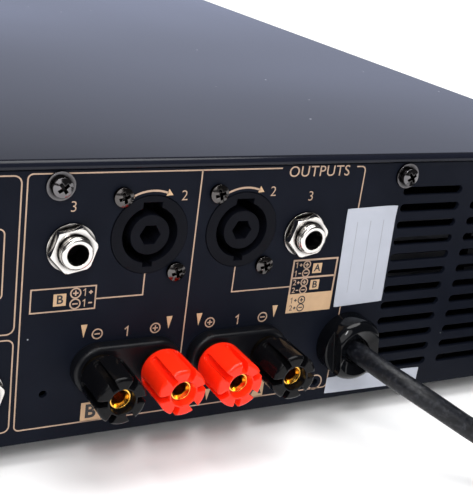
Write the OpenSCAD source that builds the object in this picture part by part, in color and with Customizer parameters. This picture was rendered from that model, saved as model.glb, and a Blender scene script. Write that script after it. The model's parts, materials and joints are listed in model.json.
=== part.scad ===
// Two-unit rack power amplifier, built as separate pieces. Millimetres, +Z up.
// The front panel faces -Y and the connector panel faces +Y. Z = 0 lies under the feet.
// On the rear panel, u runs to the right as seen from behind and z runs up from the body's bottom.

/* [Chassis] */
// Width across the sides of the cover
body_w = 440; // [436:1:446]
// Height of the body above its feet
body_h = 87.6; // [87:0.1:88]
// Depth from the face of the front panel to the face of the rear panel
body_d = 410; // [400:1:450]
// Thickness of the tray and cover sheet
sheet_t = 1.2; // [1:0.1:1.4]
// Thickness of the rear panel sheet
panel_t = 1.5; // [1.2:0.1:2]
// How far the cover's rear lip stands out past the rear panel
lip_out = 0.8; // [0.4:0.1:1.2]
// Height of the cover's rear lip
lip_h = 2.4; // [2:0.1:3]
// Dark gap between the lip and the rear panel's top edge
lip_gap = 0.5; // [0.3:0.1:0.8]
// Height of a foot
foot_h = 8; // [7:0.5:12]
// Diameter of a foot
foot_d = 20; // [18:1:26]
// Distance of the feet's centres from the sides and ends of the body
foot_inset = 45; // [35:1:55]

/* [Front panel] */
// Width of the rack panel over its ears
rack_w = 482.6; // [480:0.1:483]
// Height of the rack panel
rack_h = 88.1; // [87.6:0.1:88.4]
// Thickness of the rack panel
front_t = 4; // [3:0.5:5]
// Distance of the rack slots' centres from the ends of the rack panel
rack_hole_in = 8.75; // [8:0.05:9.5]
// Distance between the lower and upper rack slots
rack_hole_z = 76.2; // [75:0.1:77]
// Length of a rack slot
rack_slot_l = 10.3; // [9:0.1:12]
// Height of a rack slot
rack_slot_h = 6.8; // [6:0.1:7.2]
// Height of the front controls' centre line
control_z = 44; // [40:1:48]
// Place of the first gain knob
knob_x = 88; // [80:1:95]
// Distance between the two gain knobs
knob_pitch = 52; // [46:1:56]
// Diameter of a gain knob's grip
knob_d = 22; // [18:1:26]
// Length of a gain knob
knob_l = 16; // [13:0.5:18]
// Diameter of a gain control's shaft
shaft_d = 6; // [5:0.1:6.4]
// Distance of the power rocker from the side of the body
rocker_in = 28; // [26:1:32]
// Width of the power rocker
rocker_w = 13; // [11:0.5:15]
// Half the power rocker's swing
rocker_tilt = 8; // [5:0.5:9]
// Length of a front vent slot
front_vent_l = 50; // [40:1:54]
// Diameter of an indicator lamp
led_d = 3; // [2.5:0.1:4]

/* [Speaker outputs] */
// Middle of the output section on the rear panel
out_mid = 50.5; // [49:0.5:52]
// Offset of the round speaker sockets from that middle
spk_off = 15.2; // [15:0.1:16]
// Distance of the round speaker sockets below the rear panel's top
spk_drop = 20.1; // [19.7:0.1:21.5]
// Diameter of a round speaker socket's face
spk_d = 24; // [23:0.1:24.4]
// Outer diameter of the socket's ring groove
spk_groove_d = 17.4; // [16.8:0.1:18]
// Diameter of the socket's core
spk_core_d = 12.2; // [11:0.1:12.6]
// Depth of the ring groove
spk_depth = 18; // [14:0.5:20]
// Offset of channel A's speaker jack from the middle of the section
jack_off_a = 37.9; // [37.5:0.1:39]
// Offset of channel B's speaker jack from the middle of the section
jack_off_b = 39.1; // [37.5:0.1:40]
// Distance of the speaker jacks below the rear panel's top
jack_drop = 22.5; // [20.7:0.1:24.5]
// Bore of a jack
jack_bore = 6.4; // [6.35:0.01:6.6]
// Outer diameter of a jack's threaded barrel
jack_barrel_d = 9.4; // [9:0.1:10]
// Width of a jack nut over its flats
jack_nut_af = 12.4; // [11.5:0.1:13]

/* [Binding posts] */
// Distance between neighbouring posts
post_pitch = 19; // [18.8:0.1:19.2]
// Height of the posts
post_z = 23.3; // [21:0.1:25]
// Width of a post pair's moulded base
base_w = 16; // [15:0.1:17]
// Thickness of that base
base_t = 4; // [3:0.1:5]
// Outer diameter of a post's gold stud
stud_d = 6.4; // [6:0.1:6.8]
// Bore of the stud, for a 4 mm plug
stud_bore = 4.1; // [4.05:0.01:4.3]
// How far a stud stands out of the rear panel
stud_l = 20; // [18:0.5:22]
// Diameter of a post cap
cap_d = 15; // [14:0.1:15.4]
// How far the caps' petals stand out of the rear panel
cap_tip = 22; // [20.5:0.5:24]
// Petals round a cap's mouth
cap_petals = 6; // [5:1:7]
// Width of the flutes that part the petals
cap_slot = 2; // [1.6:0.1:2.4]
// Diameter left between the flutes at a cap's mouth
cap_core_d = 8.8; // [8.4:0.1:9.4]
// Running clearance of a cap and its washer round the stud
post_fit = 0.08; // [0.05:0.01:0.1]

/* [Mains cord] */
// Place of the cable gland across the rear panel
gland_u = 111.8; // [110:0.1:112]
// Height of the cable gland
gland_z = 21.9; // [20:0.1:23]
// Diameter of the gland's flange
gland_flange_d = 21.4; // [20:0.1:22]
// Width of the gland's nut over its flats
gland_nut_af = 15.4; // [15:0.1:17]
// How far the gland stands out of the rear panel
gland_l = 10; // [8:0.5:11]
// Diameter of the gland's thread
gland_thread_d = 15.8; // [15:0.1:16]
// Diameter of the mains cord
cord_d = 7; // [6.6:0.1:7.2]
// Loops in the put-away coil
coil_loops = 6; // [4:2:6]
// Radius of the coil's tightest turn
coil_r = 28; // [28:0.5:32]
// Distance between neighbouring turns, and between layers
coil_pitch = 7.7; // [7.7:0.1:8]

/* [Vents and inputs] */
// Distance of the first rear vent slots from the middle of the panel
vent_u = 125; // [124:1:126]
// Distance of the last vent slots from the side of the body
vent_side = 10; // [10:0.5:20]
// Height of a vent slot
vent_h = 2.9; // [2:0.1:3.5]
// Gap between vent columns
vent_gap = 5; // [4:0.5:8]
// Height of the lowest vent row
vent_z = 10; // [9:0.5:12]
// Distance of the highest vent row below the rear panel's top
vent_drop = 9.8; // [9.8:0.1:14]
// Rows of vent slots
vent_rows = 12; // [6:1:12]
// Place of the first line input socket
input_u = -32; // [-34:1:-30]
// Distance between the two line input sockets
input_pitch = 42; // [40:1:44]
// Distance of the line input sockets below the rear panel's top
input_drop = 24.7; // [22.7:0.1:26.5]
// Place of the first input jack
input_jack_u = -13.2; // [-14.5:0.1:-12]
// Distance between the two input jacks
input_jack_pitch = 30; // [28:1:32]
// Height of the input jacks
input_jack_z = 19.4; // [18:0.1:22]
// Place of the mode switch
mode_u = -82; // [-86:1:-78]
// Height of the mode switch
mode_z = 20; // [18:1:24]
// Travel of the mode switch to each side
mode_travel = 3.8; // [3:0.1:4]

/* [Inside] */
// Outer diameter of the mains transformer
toroid_d = 130; // [110:1:140]
// Height of the mains transformer
toroid_h = 62; // [50:1:66]
// Diameter of the hole in the transformer
toroid_hole = 42; // [36:1:50]
// Room left over the fan's frame, under the cover
fan_room = 5.2; // [4:0.1:9]
// Depth of the fan
fan_t = 25; // [20:1:28]
// Blades of the fan
fan_blades = 7; // [5:1:9]
// Length of the heatsinks
sink_l = 150; // [120:1:180]
// Thickness of a heatsink's base
sink_base = 6; // [4:0.5:7]
// Fins of a heatsink
sink_fins = 12; // [8:1:14]

/* [Hidden] */
$fn = 64;

// The body's middle lies halfway between the knobs' faces and the post caps' tips
rear_y = (body_d + knob_l - cap_tip) / 2;
front_y = rear_y - body_d;
inner_y = front_y + front_t;
panel_in = rear_y - panel_t;
top_z = foot_h + body_h;
tray_w = body_w - 2 * sheet_t;
tray_l = panel_in - inner_y;
floor_z = foot_h + sheet_t;
panel_h = body_h - lip_h - lip_gap;
spk_z = panel_h - spk_drop;
jack_z = panel_h - jack_drop;
input_z = panel_h - input_drop;
lip_r = lip_h - 0.6;
panel_flange_w = tray_w - 2 * sheet_t - 0.6;
panel_flange_l = 10;

vent_columns = 3;
vent_l = (body_w / 2 - vent_side - vent_u - (vent_columns - 1) * vent_gap) / vent_columns;
vent_pitch_u = vent_l + vent_gap;
vent_pitch_z = (panel_h - vent_z - vent_drop) / (vent_rows - 1);
spare_holes = [[6.2, 16], [103, 7.1]];

// Screws: shank and head, and the clearance of the holes that they pass
screw_d = 3;
head_d = 5.8;
head_h = 2;
hole_gap = 0.3;
washer_d = 8.4;
washer_t = 0.8;
cover_screw_z = panel_h - 4.3;
cover_screw_u = [-vent_u, 7.2, vent_u];
cover_tab_w = 16;
cover_tab_z = panel_h - vent_drop + vent_h / 2 + 0.4;
side_screw_y = [-92, 92];
side_screw_z = foot_h + body_h / 2;

// Standard connector flange, screwed at two opposite corners
flange_w = 26;
flange_h = 31;
flange_screw_x = 9.5;
flange_screw_z = 12;
flange_t = 3;
spk_fit = 0.15;
spk_body_l = 26;
spk_u = [out_mid - spk_off, out_mid + spk_off];
xlr_u = [input_u, input_u - input_pitch];
xlr_body_d = 23.6;
xlr_groove_d = 19.2;
xlr_core_d = 15;
xlr_depth = 14;
latch_w = 8;
latch_h = 3.4;
latch_y = 12.6;
latch_gap = 0.35;
latch_travel = 1.5;

jack_list = [[out_mid - jack_off_b, jack_z], [out_mid + jack_off_a, jack_z],
             [input_jack_u, input_jack_z], [input_jack_u - input_jack_pitch, input_jack_z]];
jack_washer_t = 0.9;
jack_nut_t = 2.8;
jack_out = 6.4;
jack_body_w = 16;
jack_body_l = 24;
connector_depth = panel_t + jack_body_l;

// Posts from left to right: black and red of channel B, red and black of channel A
post_u = [for (i = [-1.5, -0.5, 0.5, 1.5]) out_mid + i * post_pitch];
base_edge = 1.3;
post_washer_t = 1;
post_seat = 0.2;
cap_z0 = base_t + 2 * post_seat + post_washer_t;
cap_shoulder = 3;
cap_groove_d = 0.7;
cap_flute_in = 0.5;
cap_turns = [0, 10, 25, 5];
cap_rim = 1.2;
cap_funnel_l = 2.6;
cap_funnel_d = 8;
stud_mouth_l = 1.2;
stud_mouth_d = 5.6;
bush_d = 8;
rod_d = 5;
rod_in = 14;
rod_nut_af = 8;
rod_nut_t = 4;
rod_washer_d = 11;
rod_washer_t = 1;
bush_in = 1.5;

gland_flange_t = 3;
gland_mouth = gland_nut_af - 4.8;
gland_sleeve_d = gland_mouth - 2 * hole_gap;
locknut_t = 5;

coil_tie_t = 1.2;
tie_turn = 90;
coil_z = cord_d / 2 + coil_tie_t + 0.3;
coil_mid = [239, 57];
coil_start = 244;

// Route of the cord: u, distance out of the rear panel, and height above the floor
cord_route = [[gland_u, 2, gland_z + foot_h], [gland_u, 10, gland_z + foot_h], [112.6, 17, 29.7],
              [115, 25, 28.5], [119, 32, 26.5], [125, 38, 23], [133.5, 45.5, 18], [144, 54, 12.5],
              [156, 63.5, 8], [169, 74, 5.4], [183, 86, 5]];

function unit(v) = v / norm(v);

// Points of the coil: it spirals in on the floor, climbs a layer in half a turn and spirals out again
function coil_step(t) = t < 0 ? 0 : t > 1 ? 1 : t * t * (3 - 2 * t);
function coil_radius(t) = coil_r + coil_pitch * abs(t - coil_loops / 2);
function coil_height(t) = coil_z + coil_pitch * coil_step(2 * (t - coil_loops / 2) + 0.5);
function coil_point(t) = let (a = coil_start + 360 * t)
    [coil_mid[0] + coil_radius(t) * cos(a), coil_mid[1] - coil_radius(t) * sin(a), coil_height(t)];
coil_rings = 24;
coil_turns = [for (i = [0 : coil_rings * coil_loops]) coil_point(i / coil_rings)];
coil_in = unit(coil_turns[1] - coil_turns[0]);
coil_out = unit(coil_turns[len(coil_turns) - 1] - coil_turns[len(coil_turns) - 2]);
coil_head = coil_turns[0] - cord_d * coil_in;
coil_tail_l = 40;
coil_tail = coil_turns[len(coil_turns) - 1] + coil_tail_l * coil_out;
coil_path = concat([coil_head], coil_turns, [coil_tail]);

// The smallest gap between turns that lie at least a quarter loop apart along the tube
coil_gap = min([for (i = [0 : 2 : len(coil_turns) - 1], j = [0 : len(coil_turns) - 1])
    if (j - i >= coil_rings / 4) norm(coil_turns[i] - coil_turns[j])]) - cord_d;
echo(coil_self_gap = coil_gap);

cord_far = concat(cord_route, [coil_head]);
plug_l = 38;
plug_w = 27;
plug_h = 2 * (coil_z + coil_pitch);
pin_l = 17;
plug_neck = [[7, 0], [8, 6], [11, 14]];
plug_grip_r = plug_w * 0.7;
plug_grip_in = 16;

// Smooth curve through hand-set points, with k steps for each stretch
function ease(a, b, c, d, t) = 0.5 * (2 * b + (c - a) * t + (2 * a - 5 * b + 4 * c - d) * t * t
    + (3 * b - a - 3 * c + d) * t * t * t);
function smooth(p, k) = let (n = len(p) - 1) concat([for (i = [0 : n - 1], j = [0 : k - 1])
    ease(p[max(i - 1, 0)], p[i], p[i + 1], p[min(i + 2, n)], j / k)], [p[n]]);

// Rear coordinates to model coordinates
function rear_point(p) = [-p[0], rear_y + p[1], p[2]];

front_screw_x = body_w / 2 - 10;
front_screw_z = [12, body_h - 12];
front_vent_in = 16;
front_vent_gap = 6;
front_vent_x = [for (i = [0 : 3])
    -front_screw_x + front_vent_in + front_vent_l / 2 + i * (front_vent_l + front_vent_gap)];
front_vent_rows = 8;
front_vent_pitch = 7.4;
front_vent_h = 3.2;
rack_hole_x = rack_w - 2 * rack_hole_in;
control_xs = [knob_x, knob_x + knob_pitch];
rocker_x = body_w / 2 - rocker_in;
knob_gap = 1;
knob_skirt = 2;
knob_edge = 1.2;
shaft_fit = 0.05;
bush_outer = 9;
pot_d = 24;
pot_l = 10;
rocker_gap = 0.4;
rocker_h = 20.8;
rocker_pivot = 3;
rocker_wall = 1.8;
rocker_pin_d = 3;
rocker_body_w = rocker_w + 2 * (rocker_gap + rocker_wall);
rocker_half = rocker_h / 2 + 1.2;
rocker_body_h = 2 * (rocker_half + rocker_wall);
rocker_body_l = 16;
led_x = [control_xs[0] - 8, control_xs[0], control_xs[0] + 8, control_xs[1] - 8, control_xs[1],
         control_xs[1] + 8, rocker_x];
led_drop = 17.6;
led_z = body_h - led_drop;

mode_tab_w = 4.5;
mode_tab_h = 4.6;
mode_gap = 0.4;
mode_slot_w = mode_tab_w + 2 * (mode_travel + mode_gap);
mode_slot_h = mode_tab_h + 2 * mode_gap;
mode_body_l = 9;

sink_u = vent_u + 3;
sink_far = body_w / 2 - vent_side + 2;
sink_y = panel_in - 12;
sink_h = body_h - 2 * sheet_t - 4;
sink_fin_l = (sink_far - sink_u - 2 * sink_base - 4) / 2;
sink_fin_t = 2;
chip_size = [4.6, 20, 15.6];
chip_z = 30;
chip_pitch = 32;
chip_in = 24;
fan_size = body_h - 2 * sheet_t - fan_room;
fan_u = body_w / 2 - vent_side - fan_size / 2;
fan_y = sink_y - sink_l;
fan_bore = fan_size - 4;
fan_hub = 31;
fan_hole = fan_size / 2 - 4.25;
fan_shaft_d = 3;
board_t = 1.6;
standoff_h = 8;
board_z = floor_z + standoff_h;
board_gap = 9.4;
board_x = [board_gap - min(sink_u - chip_size[0], fan_u - fan_size / 2), 30];
board_y = [-90, 120];
standoff_in = 6;
cap_can_d = 30;
cap_can_h = 46;
cap_can_pitch = 36;
cap_can_in = 24;
cap_can_edge = 1.5;
toroid_side = 27;
toroid_x = body_w / 2 - toroid_side - toroid_d / 2;
toroid_y = 40;
clamp_over = 18;
clamp_t = 2;
clamp_bolt_d = 8;
clamp_bolt_gap = 0.4;
clamp_nut_af = 13;
clamp_nut_t = 6;
clamp_bolt_end = 10;
clamp_head_t = 3;

// Placing on the two panels, with local z pointing out of the panel
module at_rear(u, z) { translate([-u, rear_y, foot_h + z]) rotate([90, 0, 180]) children(); }
module at_front(x, z) { translate([x, front_y, foot_h + z]) rotate([90, 0, 0]) children(); }

module stadium(l, w) {
    square([l - w, w], center = true);
    for (s = [-1, 1]) translate([s * (l - w) / 2, 0]) circle(d = w);
}

module round_rect(w, h, r) {
    square([w - 2 * r, h], center = true);
    square([w, h - 2 * r], center = true);
    for (x = [-1, 1], y = [-1, 1]) translate([x * (w / 2 - r), y * (h / 2 - r)]) circle(r);
}

// A tube of flat-sided rings along a list of points
module tube(points, d, sides) {
    n = len(points);
    ring = [for (i = [0 : n - 1]) let (
        t = unit(points[min(i + 1, n - 1)] - points[max(i - 1, 0)]),
        s = unit(cross(t, [0, 0, 1])),
        v = cross(s, t)) for (k = [0 : sides - 1])
            points[i] + d / 2 * (cos(360 * k / sides) * s + sin(360 * k / sides) * v)];
    walls = [for (i = [0 : n - 2], k = [0 : sides - 1]) let (
        a = i * sides + k, b = i * sides + (k + 1) % sides)
            each [[a, b, a + sides], [b, b + sides, a + sides]]];
    caps = [for (k = [1 : sides - 2]) each [[0, k + 1, k],
        [(n - 1) * sides, (n - 1) * sides + k, (n - 1) * sides + k + 1]]];
    polyhedron(ring, concat(walls, caps), convexity = 10);
}

// Cross-head pan screw that stands on z = 0 with its shank going down
module pan_screw(d, head, h, shank) {
    difference() {
        union() {
            translate([0, 0, -shank]) cylinder(d = d, h = shank + 0.2);
            rotate_extrude() intersection() {
                translate([0, h - head]) circle(head);
                square([head / 2, h]);
            }
        }
        for (a = [0, 90]) rotate(a) translate([0, 0, h])
            cube([head * 0.6, head * 0.17, h * 1.2], center = true);
    }
}

module hex_nut(af, t, hole) {
    difference() {
        cylinder(d = af / cos(30), h = t, $fn = 6);
        translate([0, 0, -1]) cylinder(d = hole, h = t + 2);
    }
}

module hex_nut_chamfered(af, t, hole, chamfer) {
    intersection() {
        hex_nut(af, t, hole);
        union() {
            cylinder(d = af * 1.4, h = t - chamfer);
            translate([0, 0, t - chamfer])
                cylinder(d1 = af / cos(30), d2 = af / cos(30) - 2 * chamfer, h = chamfer);
        }
    }
}

module ring(d, hole, t) {
    difference() {
        cylinder(d = d, h = t);
        translate([0, 0, -1]) cylinder(d = hole, h = t + 2);
    }
}

// Folded sheet tray: floor, sides, front wall and the standoffs for the board
module chassis_tray() {
    color("#2a2c31") difference() {
        union() {
            translate([-tray_w / 2, inner_y, foot_h]) cube([tray_w, tray_l, sheet_t]);
            for (s = [-1, 1]) translate([s * (tray_w - sheet_t) / 2 - sheet_t / 2, inner_y, foot_h])
                cube([sheet_t, tray_l, body_h - sheet_t]);
            translate([-tray_w / 2, inner_y, foot_h]) cube([tray_w, sheet_t, body_h - sheet_t]);
            for (x = [board_x[0] + standoff_in, board_x[1] - standoff_in],
                 y = [board_y[0] + standoff_in, board_y[1] - standoff_in])
                translate([x, y, floor_z - 0.2]) cylinder(d = 7, h = standoff_h + 0.2);
        }
        for (x = [-1, 1], y = [front_y + foot_inset, rear_y - foot_inset])
            translate([x * (body_w / 2 - foot_inset), y, foot_h - 1])
                cylinder(d = screw_d + 2 * hole_gap, h = sheet_t + 2);
        for (y = side_screw_y) translate([0, y, side_screw_z]) rotate([0, 90, 0])
            cylinder(d = screw_d + 2 * hole_gap, h = body_w, center = true);
        at_front(0, 0) translate([0, 0, -front_t - sheet_t - 1])
            linear_extrude(sheet_t + 2) front_inner_cuts();
        translate([toroid_x, toroid_y, foot_h - 1])
            cylinder(d = clamp_bolt_d + 2 * clamp_bolt_gap, h = sheet_t + 2);
    }
}

// Openings of the tray's front wall, behind the front panel
module front_inner_cuts() {
    for (x = control_xs) translate([x, control_z]) circle(d = bush_outer + 2 * hole_gap);
    for (x = led_x) translate([x, led_z]) circle(d = led_d + 1);
    translate([rocker_x, control_z]) square([rocker_body_w + 0.8, rocker_body_h + 0.8], center = true);
    for (x = [-1, 1], z = front_screw_z) translate([x * front_screw_x, z]) circle(d = screw_d + 2 * hole_gap);
    front_vents(1);
}

module front_vents(grow) {
    for (x = front_vent_x, r = [0 : front_vent_rows - 1])
        translate([x, control_z + (r - (front_vent_rows - 1) / 2) * front_vent_pitch])
            stadium(front_vent_l + grow, front_vent_h + grow);
}

// Cover sheet: top, two sides, a rolled rear lip and three screw tabs behind the rear panel
module top_cover() {
    color("#666c76") difference() {
        union() {
            translate([0, inner_y, 0]) rotate([90, 0, 180])
                linear_extrude(panel_in - sheet_t - inner_y) cover_section();
            for (x = [-body_w / 2, body_w / 2 - sheet_t]) translate([x, panel_in - sheet_t - 1, foot_h])
                cube([sheet_t, panel_t + sheet_t + 1, body_h - lip_h / 2]);
            rotate([90, 0, 90]) translate([0, 0, -body_w / 2]) linear_extrude(body_w) cover_lip();
            for (u = cover_screw_u) at_rear(u, 0)
                translate([-cover_tab_w / 2, cover_tab_z, -panel_t - sheet_t])
                    cube([cover_tab_w, body_h - lip_h / 2 - cover_tab_z, sheet_t]);
        }
        for (u = cover_screw_u) at_rear(u, cover_screw_z)
            translate([0, 0, -panel_t - sheet_t - 1]) cylinder(d = screw_d + 2 * hole_gap, h = sheet_t + 2);
        for (y = side_screw_y) translate([0, y, side_screw_z]) rotate([0, 90, 0])
            cylinder(d = screw_d + 2 * hole_gap, h = body_w + 2, center = true);
    }
}

// Cross-section of the cover, seen from the front, with rounded bends along its sides
module cover_section() {
    difference() {
        union() {
            translate([-body_w / 2, foot_h]) square([body_w, body_h - lip_r]);
            translate([-body_w / 2 + lip_r, foot_h]) square([body_w - 2 * lip_r, body_h]);
            for (s = [-1, 1]) translate([s * (body_w / 2 - lip_r), top_z - lip_r]) circle(lip_r);
        }
        translate([-tray_w / 2, foot_h - 1]) square([tray_w, body_h - sheet_t + 1]);
    }
}

// Side profile of the rolled rear edge of the cover
module cover_lip() {
    y0 = panel_in - sheet_t;
    y1 = rear_y + lip_out;
    translate([y0 - 0.5, top_z - sheet_t]) square([y1 - lip_r - y0 + 0.5, sheet_t]);
    translate([y0, top_z - lip_h]) square([y1 - lip_r - y0, lip_h]);
    translate([y0, top_z - lip_h]) square([y1 - y0, lip_h - lip_r]);
    translate([y1 - lip_r, top_z - lip_r]) intersection() {
        circle(lip_r);
        square(lip_r);
    }
}

// Printed connector panel with a flange that lies on the tray's floor
module rear_panel() {
    color("#1c1e26") {
        at_rear(0, 0) translate([0, 0, -panel_t]) linear_extrude(panel_t) difference() {
            translate([-tray_w / 2, 0]) square([tray_w, panel_h]);
            rear_cuts();
        }
        translate([-panel_flange_w / 2, panel_in - panel_flange_l, floor_z])
            cube([panel_flange_w, panel_flange_l + 0.2, panel_t]);
    }
}

module rear_cuts() {
    for (u = spk_u) translate([u, spk_z]) {
        circle(d = spk_d + 2 * spk_fit);
        flange_holes();
    }
    for (u = xlr_u) translate([u, input_z]) {
        circle(d = xlr_body_d + 2 * hole_gap);
        flange_holes();
        translate([-latch_w / 2 - 2 * latch_gap, 0])
            square([latch_w + 4 * latch_gap, latch_y + latch_h / 2 + 2 * latch_gap]);
    }
    for (j = jack_list) translate(j) circle(d = jack_barrel_d + 2 * hole_gap);
    for (u = post_u) translate([u, post_z]) circle(d = bush_d + 2 * hole_gap);
    translate([gland_u, gland_z]) circle(d = gland_thread_d + 2 * hole_gap);
    for (u = cover_screw_u) translate([u, cover_screw_z]) circle(d = screw_d + 2 * hole_gap);
    for (s = [-1, 1], c = [0 : vent_columns - 1], r = [0 : vent_rows - 1])
        translate([s * (vent_u + vent_l / 2 + c * vent_pitch_u), vent_z + r * vent_pitch_z])
            stadium(vent_l, vent_h);
    translate([mode_u, mode_z]) square([mode_slot_w, mode_slot_h], center = true);
    for (p = spare_holes) translate(p) circle(d = 2.4);
}

module flange_holes() {
    for (s = [-1, 1]) translate([-s * flange_screw_x, s * flange_screw_z]) circle(d = screw_d + 2 * hole_gap);
}

// Thick rack panel with slotted ears, vents and control holes
module front_panel() {
    color("#22242b") at_front(0, 0) translate([0, 0, -front_t]) linear_extrude(front_t) difference() {
        translate([0, body_h / 2]) round_rect(rack_w, rack_h, 2);
        for (x = [-1, 1], z = [-1, 1]) translate([x * rack_hole_x / 2, body_h / 2 + z * rack_hole_z / 2])
            stadium(rack_slot_l, rack_slot_h);
        for (x = control_xs) translate([x, control_z]) circle(d = bush_outer + 2 * hole_gap);
        for (x = led_x) translate([x, led_z]) circle(d = led_d + 0.2);
        translate([rocker_x, control_z]) square([rocker_body_w + 0.4, rocker_body_h + 0.4], center = true);
        for (x = [-1, 1], z = front_screw_z) translate([x * front_screw_x, z])
            circle(d = screw_d + 2 * hole_gap);
        front_vents(0);
    }
}

module each_foot() {
    for (x = [-1, 1], y = [front_y + foot_inset, rear_y - foot_inset])
        translate([x * (body_w / 2 - foot_inset), y, 0]) children();
}

module feet() {
    color("#17181a") each_foot() difference() {
        rotate_extrude() difference() {
            polygon([[0, 0], [foot_d / 2 - 2, 0], [foot_d / 2, foot_h], [0, foot_h]]);
            square([4.6, foot_h / 2]);
        }
        cylinder(d = screw_d + 2 * hole_gap, h = foot_h + 1);
    }
}

module feet_screws() {
    color("#8d9196") each_foot() translate([0, 0, foot_h / 2]) mirror([0, 0, 1])
        pan_screw(screw_d, 7, 2.2, foot_h / 2 + sheet_t - 0.2);
}

// Cover screws with their captive washers
module cover_screws() {
    color("#5c5f66") {
        for (u = cover_screw_u) at_rear(u, cover_screw_z) washered_screw(panel_t + sheet_t + 4);
        for (s = [-1, 1], y = side_screw_y) translate([s * body_w / 2, y, side_screw_z])
            rotate([0, s * 90, 0]) washered_screw(2 * sheet_t + 0.6);
    }
}

module washered_screw(shank) {
    ring(washer_d, screw_d + 2 * hole_gap, washer_t);
    translate([0, 0, washer_t]) rotate(35) pan_screw(screw_d, head_d, head_h + 0.4, washer_t + shank);
}

module front_screws() {
    color("#3a3c42") for (x = [-1, 1], z = front_screw_z) at_front(x * front_screw_x, z)
        pan_screw(screw_d, 7, 2.4, front_t + sheet_t + 4);
}

module connector_screws() {
    color("#5c5f66") {
        for (u = spk_u) at_rear(u, spk_z) flange_screws(panel_t + flange_t + 3);
        for (u = xlr_u) at_rear(u, input_z) translate([0, 0, 2]) flange_screws(panel_t + 6);
    }
}

module flange_screws(shank) {
    for (s = [-1, 1]) translate([-s * flange_screw_x, s * flange_screw_z, 0]) rotate(20)
        pan_screw(screw_d, head_d, head_h, shank);
}

// Round four-pole speaker socket: ring groove with two keyways round a hollow core
module speakon_socket(u) {
    color("#17181b") at_rear(u, spk_z) difference() {
        union() {
            translate([0, 0, -panel_t - flange_t]) linear_extrude(flange_t) difference() {
                round_rect(flange_w, flange_h, 3);
                flange_holes();
            }
            translate([0, 0, -panel_t - spk_body_l]) cylinder(d = spk_d - 2.4, h = spk_body_l);
            translate([0, 0, -panel_t - 1]) cylinder(d = spk_d, h = panel_t + 1.3);
        }
        translate([0, 0, 0.3 - spk_depth]) linear_extrude(spk_depth + 1) {
            difference() {
                union() {
                    circle(d = spk_groove_d);
                    translate([-3, 0]) square([6, spk_d / 2 - 2]);
                    translate([-1.5, -spk_d / 2 + 2]) square([3, spk_d / 2 - 2]);
                }
                circle(d = spk_core_d);
            }
        }
        translate([0, 0, 0.3 - spk_depth + 4]) cylinder(d = 6.6, h = spk_depth, $fn = 6);
    }
}

module speakon_socket_a() { speakon_socket(spk_u[1]); }
module speakon_socket_b() { speakon_socket(spk_u[0]); }

// Flat terminals at the back of the speaker sockets
module speakon_contacts() {
    color("#c9a24a") for (u = spk_u, a = [45, 135, 225, 315]) at_rear(u, spk_z) rotate(a)
        translate([6.5, -2.4, -panel_t - spk_body_l - 9]) cube([0.8, 4.8, 9]);
}

module jack_barrels() {
    color("#d5d8dc") for (j = jack_list) at_rear(j[0], j[1]) translate([0, 0, -panel_t])
        difference() {
            rotate_extrude() {
                square([jack_barrel_d / 2, panel_t + jack_out - 0.8]);
                square([jack_barrel_d / 2 - 0.8, panel_t + jack_out]);
                translate([jack_barrel_d / 2 - 0.8, panel_t + jack_out - 0.8]) circle(0.8);
            }
            translate([0, 0, -1]) cylinder(d = jack_bore, h = panel_t + jack_out + 2);
        }
}

// Moulded jack housings behind the panel
module jack_bodies() {
    color("#202226") for (j = jack_list) at_rear(j[0], j[1]) difference() {
        translate([-jack_body_w / 2, -jack_body_w / 2, -connector_depth])
            cube([jack_body_w, jack_body_w, jack_body_l]);
        translate([0, 0, -connector_depth + 3]) cylinder(d = jack_bore + 0.6, h = jack_body_l);
    }
}

module jack_nuts() {
    color("#dfe1e4") for (j = jack_list) at_rear(j[0], j[1]) translate([0, 0, jack_washer_t]) rotate(12)
        hex_nut_chamfered(jack_nut_af, jack_nut_t, jack_barrel_d + 2 * hole_gap, 0.4);
}

module jack_washers() {
    color("#cfd2d6") for (j = jack_list) at_rear(j[0], j[1])
        ring(jack_nut_af / cos(30) + 0.2, jack_barrel_d + 2 * hole_gap, jack_washer_t);
}

// Side profile of a moulded disc or bar with a rounded front edge
module eased_profile(r, t, edge) {
    square([r, t - edge]);
    square([r - edge, t]);
    translate([r - edge, t - edge]) circle(edge);
}

// Moulded base of one pair of posts, with insulating bushes through the panel
module post_base(mid) {
    color("#1a1b1f") at_rear(mid, post_z) difference() {
        union() {
            for (s = [-1, 1]) translate([s * post_pitch / 2, 0, 0]) {
                rotate_extrude() eased_profile(base_w / 2, base_t, base_edge);
                translate([0, 0, -panel_t - bush_in]) cylinder(d = bush_d, h = panel_t + bush_in + 0.5);
            }
            for (s = [0, 180]) rotate([90, 0, 90]) rotate([0, s, 0]) translate([0, 0, -post_pitch / 2])
                linear_extrude(post_pitch) eased_profile(base_w / 2, base_t, base_edge);
        }
        for (s = [-1, 1]) translate([s * post_pitch / 2, 0, -panel_t - 2])
            cylinder(d = rod_d + 2 * hole_gap, h = base_t + panel_t + 3);
    }
}

module post_base_a() { post_base(out_mid + post_pitch); }
module post_base_b() { post_base(out_mid - post_pitch); }

// Gold studs: a bored tube in front, a threaded rod through the base and panel behind
module post_studs() {
    color("#d8a83c") for (u = post_u) at_rear(u, post_z) difference() {
        union() {
            translate([0, 0, base_t]) cylinder(d = stud_d, h = stud_l - base_t);
            translate([0, 0, -panel_t - rod_in]) cylinder(d = rod_d, h = panel_t + rod_in + base_t + 1);
        }
        translate([0, 0, base_t + 2]) cylinder(d = stud_bore, h = stud_l);
        translate([0, 0, stud_l - stud_mouth_l]) funnel(stud_bore, stud_mouth_d, stud_mouth_l);
    }
}

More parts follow.
